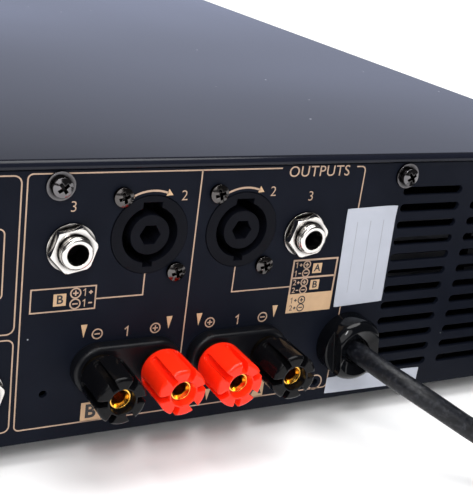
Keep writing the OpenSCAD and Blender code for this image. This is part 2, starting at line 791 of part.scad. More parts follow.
module post_nuts() {
    color("#c08f34") for (u = post_u) at_rear(u, post_z) {
        translate([0, 0, -panel_t - bush_in - rod_washer_t])
            ring(rod_washer_d, rod_d + 2 * hole_gap, rod_washer_t);
        translate([0, 0, -panel_t - bush_in - rod_washer_t - rod_nut_t])
            hex_nut(rod_nut_af, rod_nut_t, rod_d + 2 * hole_gap);
    }
}

// Clamp washer that travels with its cap
module post_washer(i) {
    color("#cfa347") at_rear(post_u[i], post_z) translate([0, 0, base_t + post_seat])
        ring(cap_d - 3, stud_d + 2 * post_fit, post_washer_t);
}

module post_washer_b_black() { post_washer(0); }
module post_washer_b_red() { post_washer(1); }
module post_washer_a_red() { post_washer(2); }
module post_washer_a_black() { post_washer(3); }

// A cone that opens from d1 to d2 over h, and goes on a little past its end
module funnel(d1, d2, h) {
    past = 0.5;
    cylinder(d1 = d1, d2 = d2 + (d2 - d1) * past / h, h = h + past);
}

// Screw cap: domed shoulder, flutes that deepen until they part the mouth into petals, and a funnel in it
module post_cap(i) {
    bore = stud_d + 2 * post_fit;
    at_rear(post_u[i], post_z) rotate(cap_turns[i]) difference() {
        rotate_extrude() {
            translate([0, cap_z0 + cap_shoulder])
                square([cap_d / 2, cap_tip - cap_rim - cap_z0 - cap_shoulder]);
            translate([0, cap_z0]) square([cap_d / 2 - cap_shoulder, cap_tip - cap_z0]);
            translate([cap_d / 2 - cap_shoulder, cap_z0 + cap_shoulder]) circle(cap_shoulder);
            translate([0, cap_tip - 2 * cap_rim]) square([cap_d / 2 - cap_rim, 2 * cap_rim]);
            translate([cap_d / 2 - cap_rim, cap_tip - cap_rim]) circle(cap_rim);
        }
        translate([0, 0, cap_z0 - 1]) cylinder(d = bore, h = cap_tip - cap_z0 + 2);
        translate([0, 0, cap_tip - cap_funnel_l]) funnel(bore, cap_funnel_d, cap_funnel_l);
        for (k = [0 : cap_petals - 1]) rotate(360 * k / cap_petals) cap_flute();
    }
}

// Cutter of one flute: a slot with a round start and a floor that slopes in towards the mouth
module cap_flute() {
    start = cap_z0 + cap_shoulder + cap_flute_in;
    intersection() {
        rotate([90, 0, 90]) linear_extrude(cap_d) translate([0, start + cap_slot / 2]) {
            circle(d = cap_slot);
            translate([-cap_slot / 2, 0]) square([cap_slot, cap_tip]);
        }
        rotate([90, 0, 0]) translate([0, 0, -cap_slot]) linear_extrude(2 * cap_slot)
            polygon([[cap_d / 2 - cap_groove_d, start - 1], [2 * cap_d, start - 1], [2 * cap_d, 2 * cap_tip],
                [cap_core_d / 2, 2 * cap_tip], [cap_core_d / 2, cap_tip]]);
    }
}

module post_cap_b_black() { color("#17181b") post_cap(0); }
module post_cap_b_red() { color("#e8301a") post_cap(1); }
module post_cap_a_red() { color("#e8301a") post_cap(2); }
module post_cap_a_black() { color("#17181b") post_cap(3); }

// Nylon cable gland: flange and threaded sleeve, clamping nut in front, locknut inside
module gland_body() {
    color("#141518") at_rear(gland_u, gland_z) difference() {
        union() {
            rotate_extrude() eased_profile(gland_flange_d / 2, gland_flange_t, 0.8);
            translate([0, 0, -panel_t - 8]) cylinder(d = gland_thread_d, h = panel_t + 9);
            cylinder(d = gland_sleeve_d, h = gland_l - 2.6);
        }
        translate([0, 0, -panel_t - 9]) cylinder(d = cord_d + 0.8, h = gland_l + panel_t + 10);
    }
}

module gland_nut() {
    color("#141518") at_rear(gland_u, gland_z) translate([0, 0, gland_flange_t]) rotate(32)
        hex_nut_chamfered(gland_nut_af, gland_l - gland_flange_t, gland_mouth, 1);
}

module gland_locknut() {
    color("#1b1c20") at_rear(gland_u, gland_z) translate([0, 0, -panel_t - locknut_t])
        hex_nut(gland_thread_d + 5, locknut_t, gland_thread_d + 2 * hole_gap);
}

module power_cord() {
    color("#1d1e22") tube([for (p = smooth(cord_far, 2)) rear_point(p)], cord_d, 10);
}

module power_cord_coil() {
    color("#1d1e22") tube([for (p = coil_path) rear_point(p)], cord_d, 6);
}

// Band that holds the coil's turns together on the far side from its ends
module cord_tie() {
    r_in = coil_r - cord_d / 2 - 0.4 + coil_pitch / 4;
    r_out = coil_r + coil_pitch * (coil_loops / 2 - 0.25) + cord_d / 2 + 0.8;
    h_in = coil_pitch + cord_d + 0.8;
    a = coil_start + tie_turn;
    color("#2b2c30") translate(rear_point([coil_mid[0], coil_mid[1], coil_z - cord_d / 2 - 0.3]))
        rotate([0, 0, 180 + a]) translate([(r_in + r_out) / 2, 3, h_in / 2])
            rotate([90, 0, 0]) linear_extrude(6) difference() {
                round_rect(r_out - r_in + 2 * coil_tie_t, h_in + 2 * coil_tie_t, 2.4);
                round_rect(r_out - r_in, h_in, 1.2);
            }
}

// Plug at the end of the coil, lying on the floor with its axis along the cord's last stretch
module at_plug() {
    tail = rear_point(coil_tail);
    lead = rear_point(coil_tail) - rear_point(coil_tail - coil_out);
    translate(tail) rotate([0, 0, atan2(lead[1], lead[0])]) children();
}

module plug_body() {
    color("#1b1c1f") at_plug() intersection() {
        translate([plug_l / 2, 0, 0]) cube([plug_l, plug_w, plug_h], center = true);
        rotate([0, 90, 0]) rotate_extrude() polygon(concat([[0, 0]], plug_neck,
            [[plug_grip_r, plug_l - plug_grip_in], [plug_grip_r, plug_l], [0, plug_l]]));
    }
}

module plug_pins() {
    color("#c9b36a") at_plug() {
        for (s = [-1, 1]) translate([plug_l, s * 6.35 - 0.75, -1]) cube([pin_l, 1.5, 6.3]);
        translate([plug_l, 0, -7]) rotate([0, 90, 0]) cylinder(d = 4.8, h = pin_l + 2);
    }
}

// Line input socket: flange on the panel, ring groove, three contact holes and a latch pocket
module xlr_socket(u) {
    color("#26282d") at_rear(u, input_z) difference() {
        union() {
            linear_extrude(2) difference() {
                round_rect(flange_w, flange_h, 3);
                flange_holes();
            }
            translate([0, 0, -connector_depth]) cylinder(d = xlr_body_d, h = connector_depth + 1);
        }
        translate([0, 0, 2 - xlr_depth]) ring(xlr_groove_d, xlr_core_d, xlr_depth + 1);
        for (a = [30, 150, 270]) rotate(a) translate([4, 0, 2 - xlr_depth])
            cylinder(d = 2.8, h = xlr_depth + 1);
        translate([-latch_w / 2 - latch_gap, latch_y - latch_h / 2 - latch_gap, -5])
            cube([latch_w + 2 * latch_gap, latch_h + 2 * latch_gap, 10]);
    }
}

module xlr_socket_a() { xlr_socket(xlr_u[0]); }
module xlr_socket_b() { xlr_socket(xlr_u[1]); }

// Press tab that frees the plug
module xlr_latch(u) {
    color("#9a9ea5") at_rear(u, input_z)
        translate([-latch_w / 2, latch_y - latch_h / 2, latch_travel + latch_gap - 5])
            cube([latch_w, latch_h, 9.4 - latch_travel]);
}

module xlr_latch_a() { xlr_latch(xlr_u[0]); }
module xlr_latch_b() { xlr_latch(xlr_u[1]); }

module mode_switch_body() {
    color("#3c3f45") at_rear(mode_u, mode_z) difference() {
        translate([-mode_slot_w / 2 - 3, -mode_slot_h / 2 - 2, -panel_t - mode_body_l])
            cube([mode_slot_w + 6, mode_slot_h + 4, mode_body_l]);
        translate([-mode_slot_w / 2, -mode_slot_h / 2, -panel_t - mode_body_l + 2])
            cube([mode_slot_w, mode_slot_h, mode_body_l]);
    }
}

module mode_switch_slider() {
    color("#d9dade") at_rear(mode_u, mode_z) difference() {
        translate([-mode_tab_w / 2, -mode_tab_h / 2, -panel_t - mode_body_l + 2.3])
            cube([mode_tab_w, mode_tab_h, panel_t + mode_body_l]);
        for (x = [-1.2, 0, 1.2]) translate([x - 0.3, -mode_tab_h, 2]) cube([0.6, 2 * mode_tab_h, 2]);
    }
}

// Gain knob with a thin skirt, a fluted grip, a smooth end and a pointer groove
module gain_knob(x) {
    h = knob_l - knob_gap;
    color("#2c2e33") at_front(x, control_z) translate([0, 0, knob_gap]) difference() {
        union() {
            cylinder(d = knob_d + 4, h = knob_skirt);
            linear_extrude(h - knob_edge) difference() {
                circle(d = knob_d);
                for (k = [1 : 23]) rotate(90 + 15 * k) translate([knob_d / 2 + 0.5, 0]) circle(d = 2.2);
            }
            rotate_extrude() eased_profile(knob_d / 2 - 0.8, h, knob_edge);
        }
        translate([-0.6, knob_d / 6, h - 0.6]) cube([1.2, knob_d, 2]);
        translate([0, 0, -1]) cylinder(d = shaft_d + 0.04, h = h - 3);
    }
}

module gain_knob_a() { gain_knob(control_xs[0]); }
module gain_knob_b() { gain_knob(control_xs[1]); }

module pot_shaft(x) {
    color("#b9bcc1") at_front(x, control_z) translate([0, 0, -front_t - sheet_t - pot_l + 1])
        cylinder(d = shaft_d, h = front_t + sheet_t + pot_l + knob_l - 5.2);
}

module pot_shaft_a() { pot_shaft(control_xs[0]); }
module pot_shaft_b() { pot_shaft(control_xs[1]); }

// Gain controls: can behind the tray's front wall and threaded bush through it
module gain_pots() {
    color("#8f8a7a") for (x = control_xs) at_front(x, control_z) difference() {
        union() {
            translate([0, 0, -front_t - sheet_t - pot_l]) cylinder(d = pot_d, h = pot_l);
            translate([0, 0, -front_t - sheet_t - 1]) cylinder(d = bush_outer, h = front_t + sheet_t + 1);
        }
        translate([0, 0, -front_t - sheet_t - pot_l + 0.7])
            cylinder(d = shaft_d + 2 * shaft_fit, h = front_t + sheet_t + pot_l);
    }
}

// Power switch: bezel on the panel and an open housing behind it
module power_switch_body() {
    color("#1a1b1e") at_front(rocker_x, control_z) difference() {
        union() {
            linear_extrude(1.6) round_rect(rocker_body_w + 4, rocker_body_h + 4, 1.5);
            translate([-rocker_body_w / 2, -rocker_body_h / 2, -rocker_body_l])
                cube([rocker_body_w, rocker_body_h, rocker_body_l + 1]);
        }
        translate([-rocker_w / 2 - rocker_gap, -rocker_half, 2 - rocker_body_l])
            cube([rocker_w + 2 * rocker_gap, 2 * rocker_half, rocker_body_l + 2]);
        translate([0, 0, -rocker_pivot]) rotate([0, 90, 0])
            cylinder(d = rocker_pin_d + 0.1, h = rocker_w + 2 * (rocker_gap + 1.2), center = true);
    }
}

// Rocker in its off position, on two stub pins
module power_rocker() {
    edge = 1.2 + rocker_h / 2 * tan(rocker_tilt);
    pin_w = rocker_w + 2 * (rocker_gap + 0.9);
    color("#b8281c") at_front(rocker_x, control_z) translate([0, 0, -rocker_pivot])
        rotate([-rocker_tilt, 0, 0]) {
            rotate([90, 0, 90]) translate([0, 0, -rocker_w / 2]) linear_extrude(rocker_w)
                polygon([[-rocker_h / 2, -2], [rocker_h / 2, -2], [rocker_h / 2, rocker_pivot + edge],
                    [0, rocker_pivot + 1.2], [-rocker_h / 2, rocker_pivot + edge]]);
            rotate([0, 90, 0]) cylinder(d = rocker_pin_d, h = pin_w, center = true);
        }
}

module led_lenses() {
    color("#d9efe0") for (x = led_x) at_front(x, led_z) {
        translate([0, 0, -front_t]) cylinder(d = led_d, h = front_t);
        intersection() {
            sphere(d = led_d);
            translate([0, 0, led_d / 2]) cube(led_d, center = true);
        }
    }
}

// Mains transformer: wrapped ring with rounded edges
module toroid() {
    wall = (toroid_d - toroid_hole) / 2;
    color("#b9a25c") translate([toroid_x, toroid_y, floor_z]) rotate_extrude()
        translate([toroid_hole / 2 + wall / 2, toroid_h / 2]) round_rect(wall, toroid_h, 8);
}

module toroid_clamp() {
    color("#9a9da2") translate([toroid_x, toroid_y, 0]) {
        translate([0, 0, floor_z + toroid_h])
            ring(toroid_hole + 2 * clamp_over, clamp_bolt_d + 2 * clamp_bolt_gap, clamp_t);
        translate([0, 0, foot_h - clamp_head_t])
            cylinder(d = clamp_bolt_d, h = clamp_head_t + sheet_t + toroid_h + clamp_bolt_end);
        translate([0, 0, floor_z + toroid_h + clamp_t]) hex_nut(clamp_nut_af, clamp_nut_t, clamp_bolt_d);
        translate([0, 0, foot_h - clamp_head_t])
            cylinder(d = clamp_nut_af / cos(30), h = clamp_head_t, $fn = 6);
    }
}

// Two finned heatsinks that face each other and form the air tunnel
module heatsinks() {
    color("#8a8d92") for (s = [0, 1])
        at_rear(s == 0 ? sink_u : sink_far, sheet_t) mirror([s, 0, 0])
            translate([0, 0, sink_y - rear_y - sink_l]) linear_extrude(sink_l) {
                square([sink_base, sink_h]);
                for (k = [0 : sink_fins - 1])
                    translate([sink_base - 0.2, k * (sink_h - sink_fin_t) / (sink_fins - 1)])
                        square([sink_fin_l + 0.2, sink_fin_t]);
            }
}

module transistors() {
    color("#1c1c1e") for (s = [0, 1], k = [0 : 3])
        at_rear(s == 0 ? sink_u : sink_far, chip_z) mirror([1 - s, 0, 0])
            translate([0, 0, sink_y - rear_y - chip_in - k * chip_pitch]) cube(chip_size);
}

module amp_board() {
    color("#2f6a45") translate([board_x[0], board_y[0], board_z])
        cube([board_x[1] - board_x[0], board_y[1] - board_y[0], board_t]);
}

module capacitors() {
    color("#23262c") for (i = [0 : 2], j = [0 : 1])
        translate([board_x[1] - cap_can_in - j * cap_can_pitch, board_y[0] + cap_can_d + i * cap_can_pitch,
                   board_z + board_t])
            rotate_extrude() eased_profile(cap_can_d / 2, cap_can_h, cap_can_edge);
}

// Upright board that carries the input connectors
module input_board() {
    u0 = input_u - input_pitch - flange_w / 2 - 3;
    u1 = input_jack_u + jack_body_w / 2 + 2;
    color("#2f6a45") at_rear(0, 0) translate([u0, sheet_t + panel_t, -connector_depth - board_t])
        cube([u1 - u0, input_z + 12, board_t]);
}

// Middle of the fan's front face, at the front end of the air tunnel
module at_fan() {
    at_rear(fan_u, sheet_t + fan_size / 2) translate([0, 0, fan_y - rear_y - fan_t]) children();
}

module fan_frame() {
    color("#202226") at_fan() difference() {
        union() {
            linear_extrude(fan_t) difference() {
                round_rect(fan_size, fan_size, 4);
                circle(d = fan_bore);
            }
            cylinder(d = fan_hub, h = 3);
            for (a = [45 : 90 : 315]) rotate(a) translate([0, -2, 0]) cube([fan_bore / 2 + 1, 4, 3]);
        }
        for (x = [-1, 1], y = [-1, 1]) translate([x * fan_hole, y * fan_hole, -1])
            cylinder(d = 4.3, h = fan_t + 2);
        translate([0, 0, 0.6]) cylinder(d = fan_shaft_d + 0.1, h = 10);
    }
}

// Fan wheel: hub, slanted blades and the shaft that runs in the frame
module fan_rotor() {
    color("#2b2d32") at_fan() {
        translate([0, 0, 3.5]) cylinder(d = fan_hub, h = fan_t - 5);
        translate([0, 0, 1]) cylinder(d = fan_shaft_d, h = 3);
        intersection() {
            translate([0, 0, 3.5]) ring(fan_bore - 3, fan_hub - 2, fan_t - 5);
            for (k = [0 : fan_blades - 1]) rotate(360 * k / fan_blades)
                translate([fan_bore / 4, 0, 3.5 + (fan_t - 5) / 2]) rotate([35, 0, 0])
                    cube([fan_bore / 2, 1.6, fan_t * 2], center = true);
        }
    }
}

module fan_screws() {
    color("#8d9196") at_fan()
        for (x = [-1, 1], y = [-1, 1]) translate([x * fan_hole, y * fan_hole, 0]) mirror([0, 0, 1])
            pan_screw(3.6, 7, 2, fan_t - 1);
}

chassis_tray();
top_cover();
rear_panel();
front_panel();
feet();
feet_screws();
cover_screws();
front_screws();
connector_screws();
speakon_socket_a();
speakon_socket_b();
speakon_contacts();
jack_barrels();
jack_bodies();
jack_nuts();
jack_washers();
post_base_a();
post_base_b();
post_studs();
post_nuts();
post_washer_b_black();
post_washer_b_red();
post_washer_a_red();
post_washer_a_black();
post_cap_b_black();
post_cap_b_red();
post_cap_a_red();
post_cap_a_black();
gland_body();
gland_nut();
gland_locknut();
power_cord();
power_cord_coil();
cord_tie();
plug_body();
plug_pins();
xlr_socket_a();
xlr_socket_b();
xlr_latch_a();
xlr_latch_b();
mode_switch_body();
mode_switch_slider();
gain_knob_a();
gain_knob_b();
pot_shaft_a();
pot_shaft_b();
gain_pots();
power_switch_body();
power_rocker();
led_lenses();
toroid();
toroid_clamp();
heatsinks();
transistors();
amp_board();
capacitors();
input_board();
fan_frame();
fan_rotor();
fan_screws();
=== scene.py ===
"""Looks of a two-unit rack power amplifier, seen at the speaker outputs on its rear panel."""
import json
import math

import bpy
from mathutils import Euler, Matrix, Vector


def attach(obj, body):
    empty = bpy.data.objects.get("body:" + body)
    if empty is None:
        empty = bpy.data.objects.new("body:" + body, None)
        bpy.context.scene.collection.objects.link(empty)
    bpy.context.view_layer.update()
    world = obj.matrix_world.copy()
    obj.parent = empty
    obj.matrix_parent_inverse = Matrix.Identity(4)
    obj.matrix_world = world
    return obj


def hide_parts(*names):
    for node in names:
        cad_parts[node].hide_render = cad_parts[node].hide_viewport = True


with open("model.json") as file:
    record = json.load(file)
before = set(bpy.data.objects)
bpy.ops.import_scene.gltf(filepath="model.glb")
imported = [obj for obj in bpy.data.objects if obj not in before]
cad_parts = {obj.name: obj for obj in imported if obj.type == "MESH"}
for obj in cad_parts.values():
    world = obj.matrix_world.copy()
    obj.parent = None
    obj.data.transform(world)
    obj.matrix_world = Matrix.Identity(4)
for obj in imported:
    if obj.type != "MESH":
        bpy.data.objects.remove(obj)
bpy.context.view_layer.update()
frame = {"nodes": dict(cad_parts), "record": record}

MM = 0.001
scene = bpy.context.scene
scene.view_settings.view_transform = "Standard"

# Panel frames, in millimetres: u to the right as the panel is seen, z up from the body's bottom, h out of the panel
REAR_Y = 202.0
FRONT_Y = -208.0
FOOT_H = 8.0
REAR = Matrix(((-1, 0, 0, 0), (0, 0, 1, REAR_Y * MM), (0, 1, 0, FOOT_H * MM), (0, 0, 0, 1)))
FRONT = Matrix(((1, 0, 0, 0), (0, 0, -1, FRONT_Y * MM), (0, 1, 0, FOOT_H * MM), (0, 0, 0, 1)))


def rear_point(u, out, height):
    """A point near the rear panel, with its height above the floor."""
    return Vector((-u, REAR_Y + out, height)) * MM


def rear_place(u, z, turn):
    """A frame on the rear panel's face, turned by degrees."""
    return REAR @ Matrix.Translation(Vector((u, z, 0)) * MM) @ Matrix.Rotation(math.radians(turn), 4, "Z")


# Camera, solved from the photograph

IMAGE_W, IMAGE_H = 473, 500
FOCAL_PX = 996.27
CENTRE_PX = (213.55, 259.39)
SENSOR = 36.0
CAMERA_AT = (81.58, 447.37, 171.54)
CAMERA_TURN = (68.852, -6.970, 153.153)
CLIP_START = 0.01


def make_camera():
    data = bpy.data.cameras.new("camera")
    data.sensor_width = SENSOR
    data.lens = FOCAL_PX * SENSOR / IMAGE_H
    data.shift_x = (IMAGE_W / 2 - CENTRE_PX[0]) / IMAGE_H
    data.shift_y = (CENTRE_PX[1] - IMAGE_H / 2) / IMAGE_H
    data.clip_start = CLIP_START
    camera = bpy.data.objects.new("camera", data)
    camera.location = Vector(CAMERA_AT) * MM
    camera.rotation_euler = Euler([math.radians(a) for a in CAMERA_TURN])
    scene.collection.objects.link(camera)
    scene.camera = camera


make_camera()


# Mains cord: straight out of the gland, down to the floor and into a tied coil

CORD_D = 7.0
CORD_ROUND = 6
CORD_ROUTE = [(111.8, 2, 29.9), (111.8, 10, 29.9), (112.6, 17, 29.7), (115, 25, 28.5), (119, 32, 26.5),
              (125, 38, 23), (133.5, 45.5, 18), (144, 54, 12.5), (156, 63.5, 8), (169, 74, 5.4), (183, 86, 5)]
ROUTE_STEPS = 3
COIL_MID = (239, 57)
COIL_START = 244
COIL_LOOPS = 6
COIL_R = 28.0
COIL_PITCH = 7.7
COIL_Z = 5.0
COIL_POINTS = 32
COIL_TAIL = 40.0


def coil_point(t):
    """A point of the coil after t turns: it spirals in, climbs a layer in half a turn and spirals out again."""
    half = COIL_LOOPS / 2
    angle = math.radians(COIL_START + 360 * t)
    radius = COIL_R + COIL_PITCH * abs(t - half)
    step = min(max(2 * (t - half) + 0.5, 0), 1)
    height = COIL_Z + COIL_PITCH * step * step * (3 - 2 * step)
    return Vector((COIL_MID[0] + radius * math.cos(angle), COIL_MID[1] - radius * math.sin(angle), height))


def smooth(points, steps):
    """Points of a smooth curve through the given ones."""
    last = len(points) - 1
    out = []
    for i in range(last):
        a, b, c, d = (points[min(max(k, 0), last)] for k in (i - 1, i, i + 1, i + 2))
        for j in range(steps):
            t = j / steps
            out.append(0.5 * (2 * b + (c - a) * t + (2 * a - 5 * b + 4 * c - d) * t * t
                              + (3 * b - a - 3 * c + d) * t * t * t))
    return out + [points[last]]


def cord_points():
    turns = [coil_point(i / COIL_POINTS) for i in range(COIL_POINTS * COIL_LOOPS + 1)]
    head = turns[0] - (turns[1] - turns[0]).normalized() * CORD_D
    tail = turns[-1] + (turns[-1] - turns[-2]).normalized() * COIL_TAIL
    free = smooth([Vector(p) for p in CORD_ROUTE] + [head], ROUTE_STEPS)
    return [rear_point(*p) for p in free + turns + [tail]]


def make_cord():
    """One curve from the gland to the plug. Its bevel is 1, so that each point's radius is the cord's own."""
    points = cord_points()
    data = bpy.data.curves.new("mains_cord", "CURVE")
    data.dimensions = "3D"
    data.bevel_depth = 1.0
    data.bevel_resolution = CORD_ROUND
    data.use_fill_caps = True
    spline = data.splines.new("POLY")
    spline.points.add(len(points) - 1)
    for point, place in zip(spline.points, points):
        point.co = (*place, 1)
        point.radius = CORD_D / 2 * MM
    spline.use_smooth = True
    cord = bpy.data.objects.new("mains_cord", data)
    scene.collection.objects.link(cord)
    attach(cord, "chassis")
    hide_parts("power_cord", "power_cord_coil")
    return cord


cord = make_cord()


# Materials: every one has its own mottle, gloss changes and grain

def linear(rgb):
    """Screen colour, 0 to 255, as the shader's linear colour."""
    return [c / 255 / 12.92 if c < 11 else ((c / 255 + 0.055) / 1.055) ** 2.4 for c in rgb] + [1.0]


def shade(rgb, factor):
    return [c * factor for c in linear(rgb)[:3]] + [1.0]


# Middle of a noise's range, where most of its values lie
NOISE_LOW, NOISE_HIGH = 0.3, 0.7


class Graph:
    """A material's nodes, added one call at a time."""

    def __init__(self, name):
        self.material = bpy.data.materials.new(name)
        self.material.use_nodes = True
        self.tree = self.material.node_tree
        self.shader = self.tree.nodes["Principled BSDF"]
        self.place = self.add("ShaderNodeTexCoord").outputs["Object"]

    def add(self, kind, inputs=(), **settings):
        node = self.tree.nodes.new(kind)
        for key, value in settings.items():
            setattr(node, key, value)
        for key, value in dict(inputs).items():
            self.put(node.inputs[key], value)
        return node

    def put(self, socket, value):
        if isinstance(value, bpy.types.NodeSocket):
            self.tree.links.new(value, socket)
        else:
            socket.default_value = value

    def set(self, **values):
        """Values or links for the shader's sockets, named with _ for a space."""
        for key, value in values.items():
            self.put(self.shader.inputs[key.replace("_", " ")], value)

    def noise(self, scale, detail=3.0, stretch=(1, 1, 1)):
        where = self.place
        if stretch != (1, 1, 1):
            where = self.add("ShaderNodeMapping", {"Vector": where, "Scale": stretch}).outputs["Vector"]
        return self.add("ShaderNodeTexNoise", {"Vector": where, "Scale": scale, "Detail": detail}).outputs["Fac"]

    def spread(self, value, low, high, start=NOISE_LOW, end=NOISE_HIGH):
        """The value's range from start to end, mapped to low and high."""
        return self.add("ShaderNodeMapRange", {"Value": value, "From Min": start, "From Max": end,
                                               "To Min": low, "To Max": high}).outputs["Result"]

    def ramp(self, value, first, second):
        """A drift between two colours over the middle of the value's range."""
        node = self.add("ShaderNodeValToRGB", {"Fac": value})
        stops = ((NOISE_LOW, first), (NOISE_HIGH, second))
        for element, (position, colour) in zip(node.color_ramp.elements, stops):
            element.position = position
            element.color = colour
        return node.outputs["Color"]

    def mix(self, factor, first, second):
        node = self.add("ShaderNodeMixRGB", {"Fac": factor, "Color1": first, "Color2": second})
        return node.outputs["Color"]

    def bump(self, height, strength, distance, normal=None):
        inputs = {"Height": height, "Strength": strength, "Distance": distance}
        if normal is not None:
            inputs["Normal"] = normal
        return self.add("ShaderNodeBump", inputs).outputs["Normal"]


DUST = (160, 162, 170)
DUST_SCALE = 60.0
DUST_CORE = 0.6
RUBBED = (0.5, 0.75)
OPEN_AIR = (0.6, 0.96)
# Painted shade: the share of its colour that a finish keeps deep in recesses
RECESS_SHADE = 0.02
WAVE_SCALE = 7.0
GRAIN_STRENGTH = 0.6
DRIFT_DETAIL, FINE_DETAIL, RUB_DETAIL, GLOSS_DETAIL = 4.0, 2.0, 8.0, 5.0
# Scales of the rubbed patches and of the gloss changes, beside the mottle's
RUB_SCALE, GLOSS_SCALE = 1.7, 2.3
EDGE_SAMPLES, HOLLOW_SAMPLES = 6, 8


def finish(name, rgb, tint=0.15, rough=(0.4, 0.5), metallic=0.0, mottle=90.0, grain=3000.0, depth=0.02,
           stretch=(1, 1, 1), edge=0.0, dust=0.0, scuff=0.0, hollow=0.0, wave=0.0, **sockets):
    """A surface whose colour and gloss drift over it, with a fine grain and softened edges.

    Dust is the size of pale specks beside their spacing, and scuff is how pale the rubbed patches are. In
    millimetres, depth is the grain's height, edge is the radius of softened edges, hollow is the reach of painted
    shade in recesses and wave is the height of a sheet's slow waves.
    """
    graph = Graph(name)
    drift = graph.noise(mottle, DRIFT_DETAIL)
    fine = graph.noise(grain, FINE_DETAIL, stretch)
    colour = graph.ramp(drift, shade(rgb, 1 - tint), shade(rgb, 1 + tint))
    if dust:
        away = graph.add("ShaderNodeTexVoronoi", {"Vector": graph.place, "Scale": DUST_SCALE}).outputs["Distance"]
        colour = graph.mix(graph.spread(away, 1.0, 0.0, dust * DUST_CORE, dust), colour, linear(DUST))
    if scuff:
        rubbed = graph.spread(graph.noise(mottle * RUB_SCALE, RUB_DETAIL), 0.0, scuff, *RUBBED)
        colour = graph.mix(rubbed, colour, linear(DUST))
    # Painted shade: the colour goes nearly black in recesses that ambient occlusion finds, within the hollow's reach
    if hollow:
        air = graph.add("ShaderNodeAmbientOcclusion", {"Distance": hollow * MM}, samples=HOLLOW_SAMPLES)
        colour = graph.mix(graph.spread(air.outputs["AO"], 0.0, 1.0, *OPEN_AIR), shade(rgb, RECESS_SHADE), colour)
    gloss = graph.spread(graph.noise(mottle * GLOSS_SCALE, GLOSS_DETAIL), *rough)
    graph.set(Base_Color=colour, Roughness=gloss, Metallic=metallic)
    normal = None
    if edge:
        normal = graph.add("ShaderNodeBevel", {"Radius": edge * MM}, samples=EDGE_SAMPLES).outputs["Normal"]
    if wave:
        normal = graph.bump(graph.noise(WAVE_SCALE, 0.0), 1.0, wave * MM, normal)
    graph.set(Normal=graph.bump(fine, GRAIN_STRENGTH, depth * MM, normal), **sockets)
    return graph.material


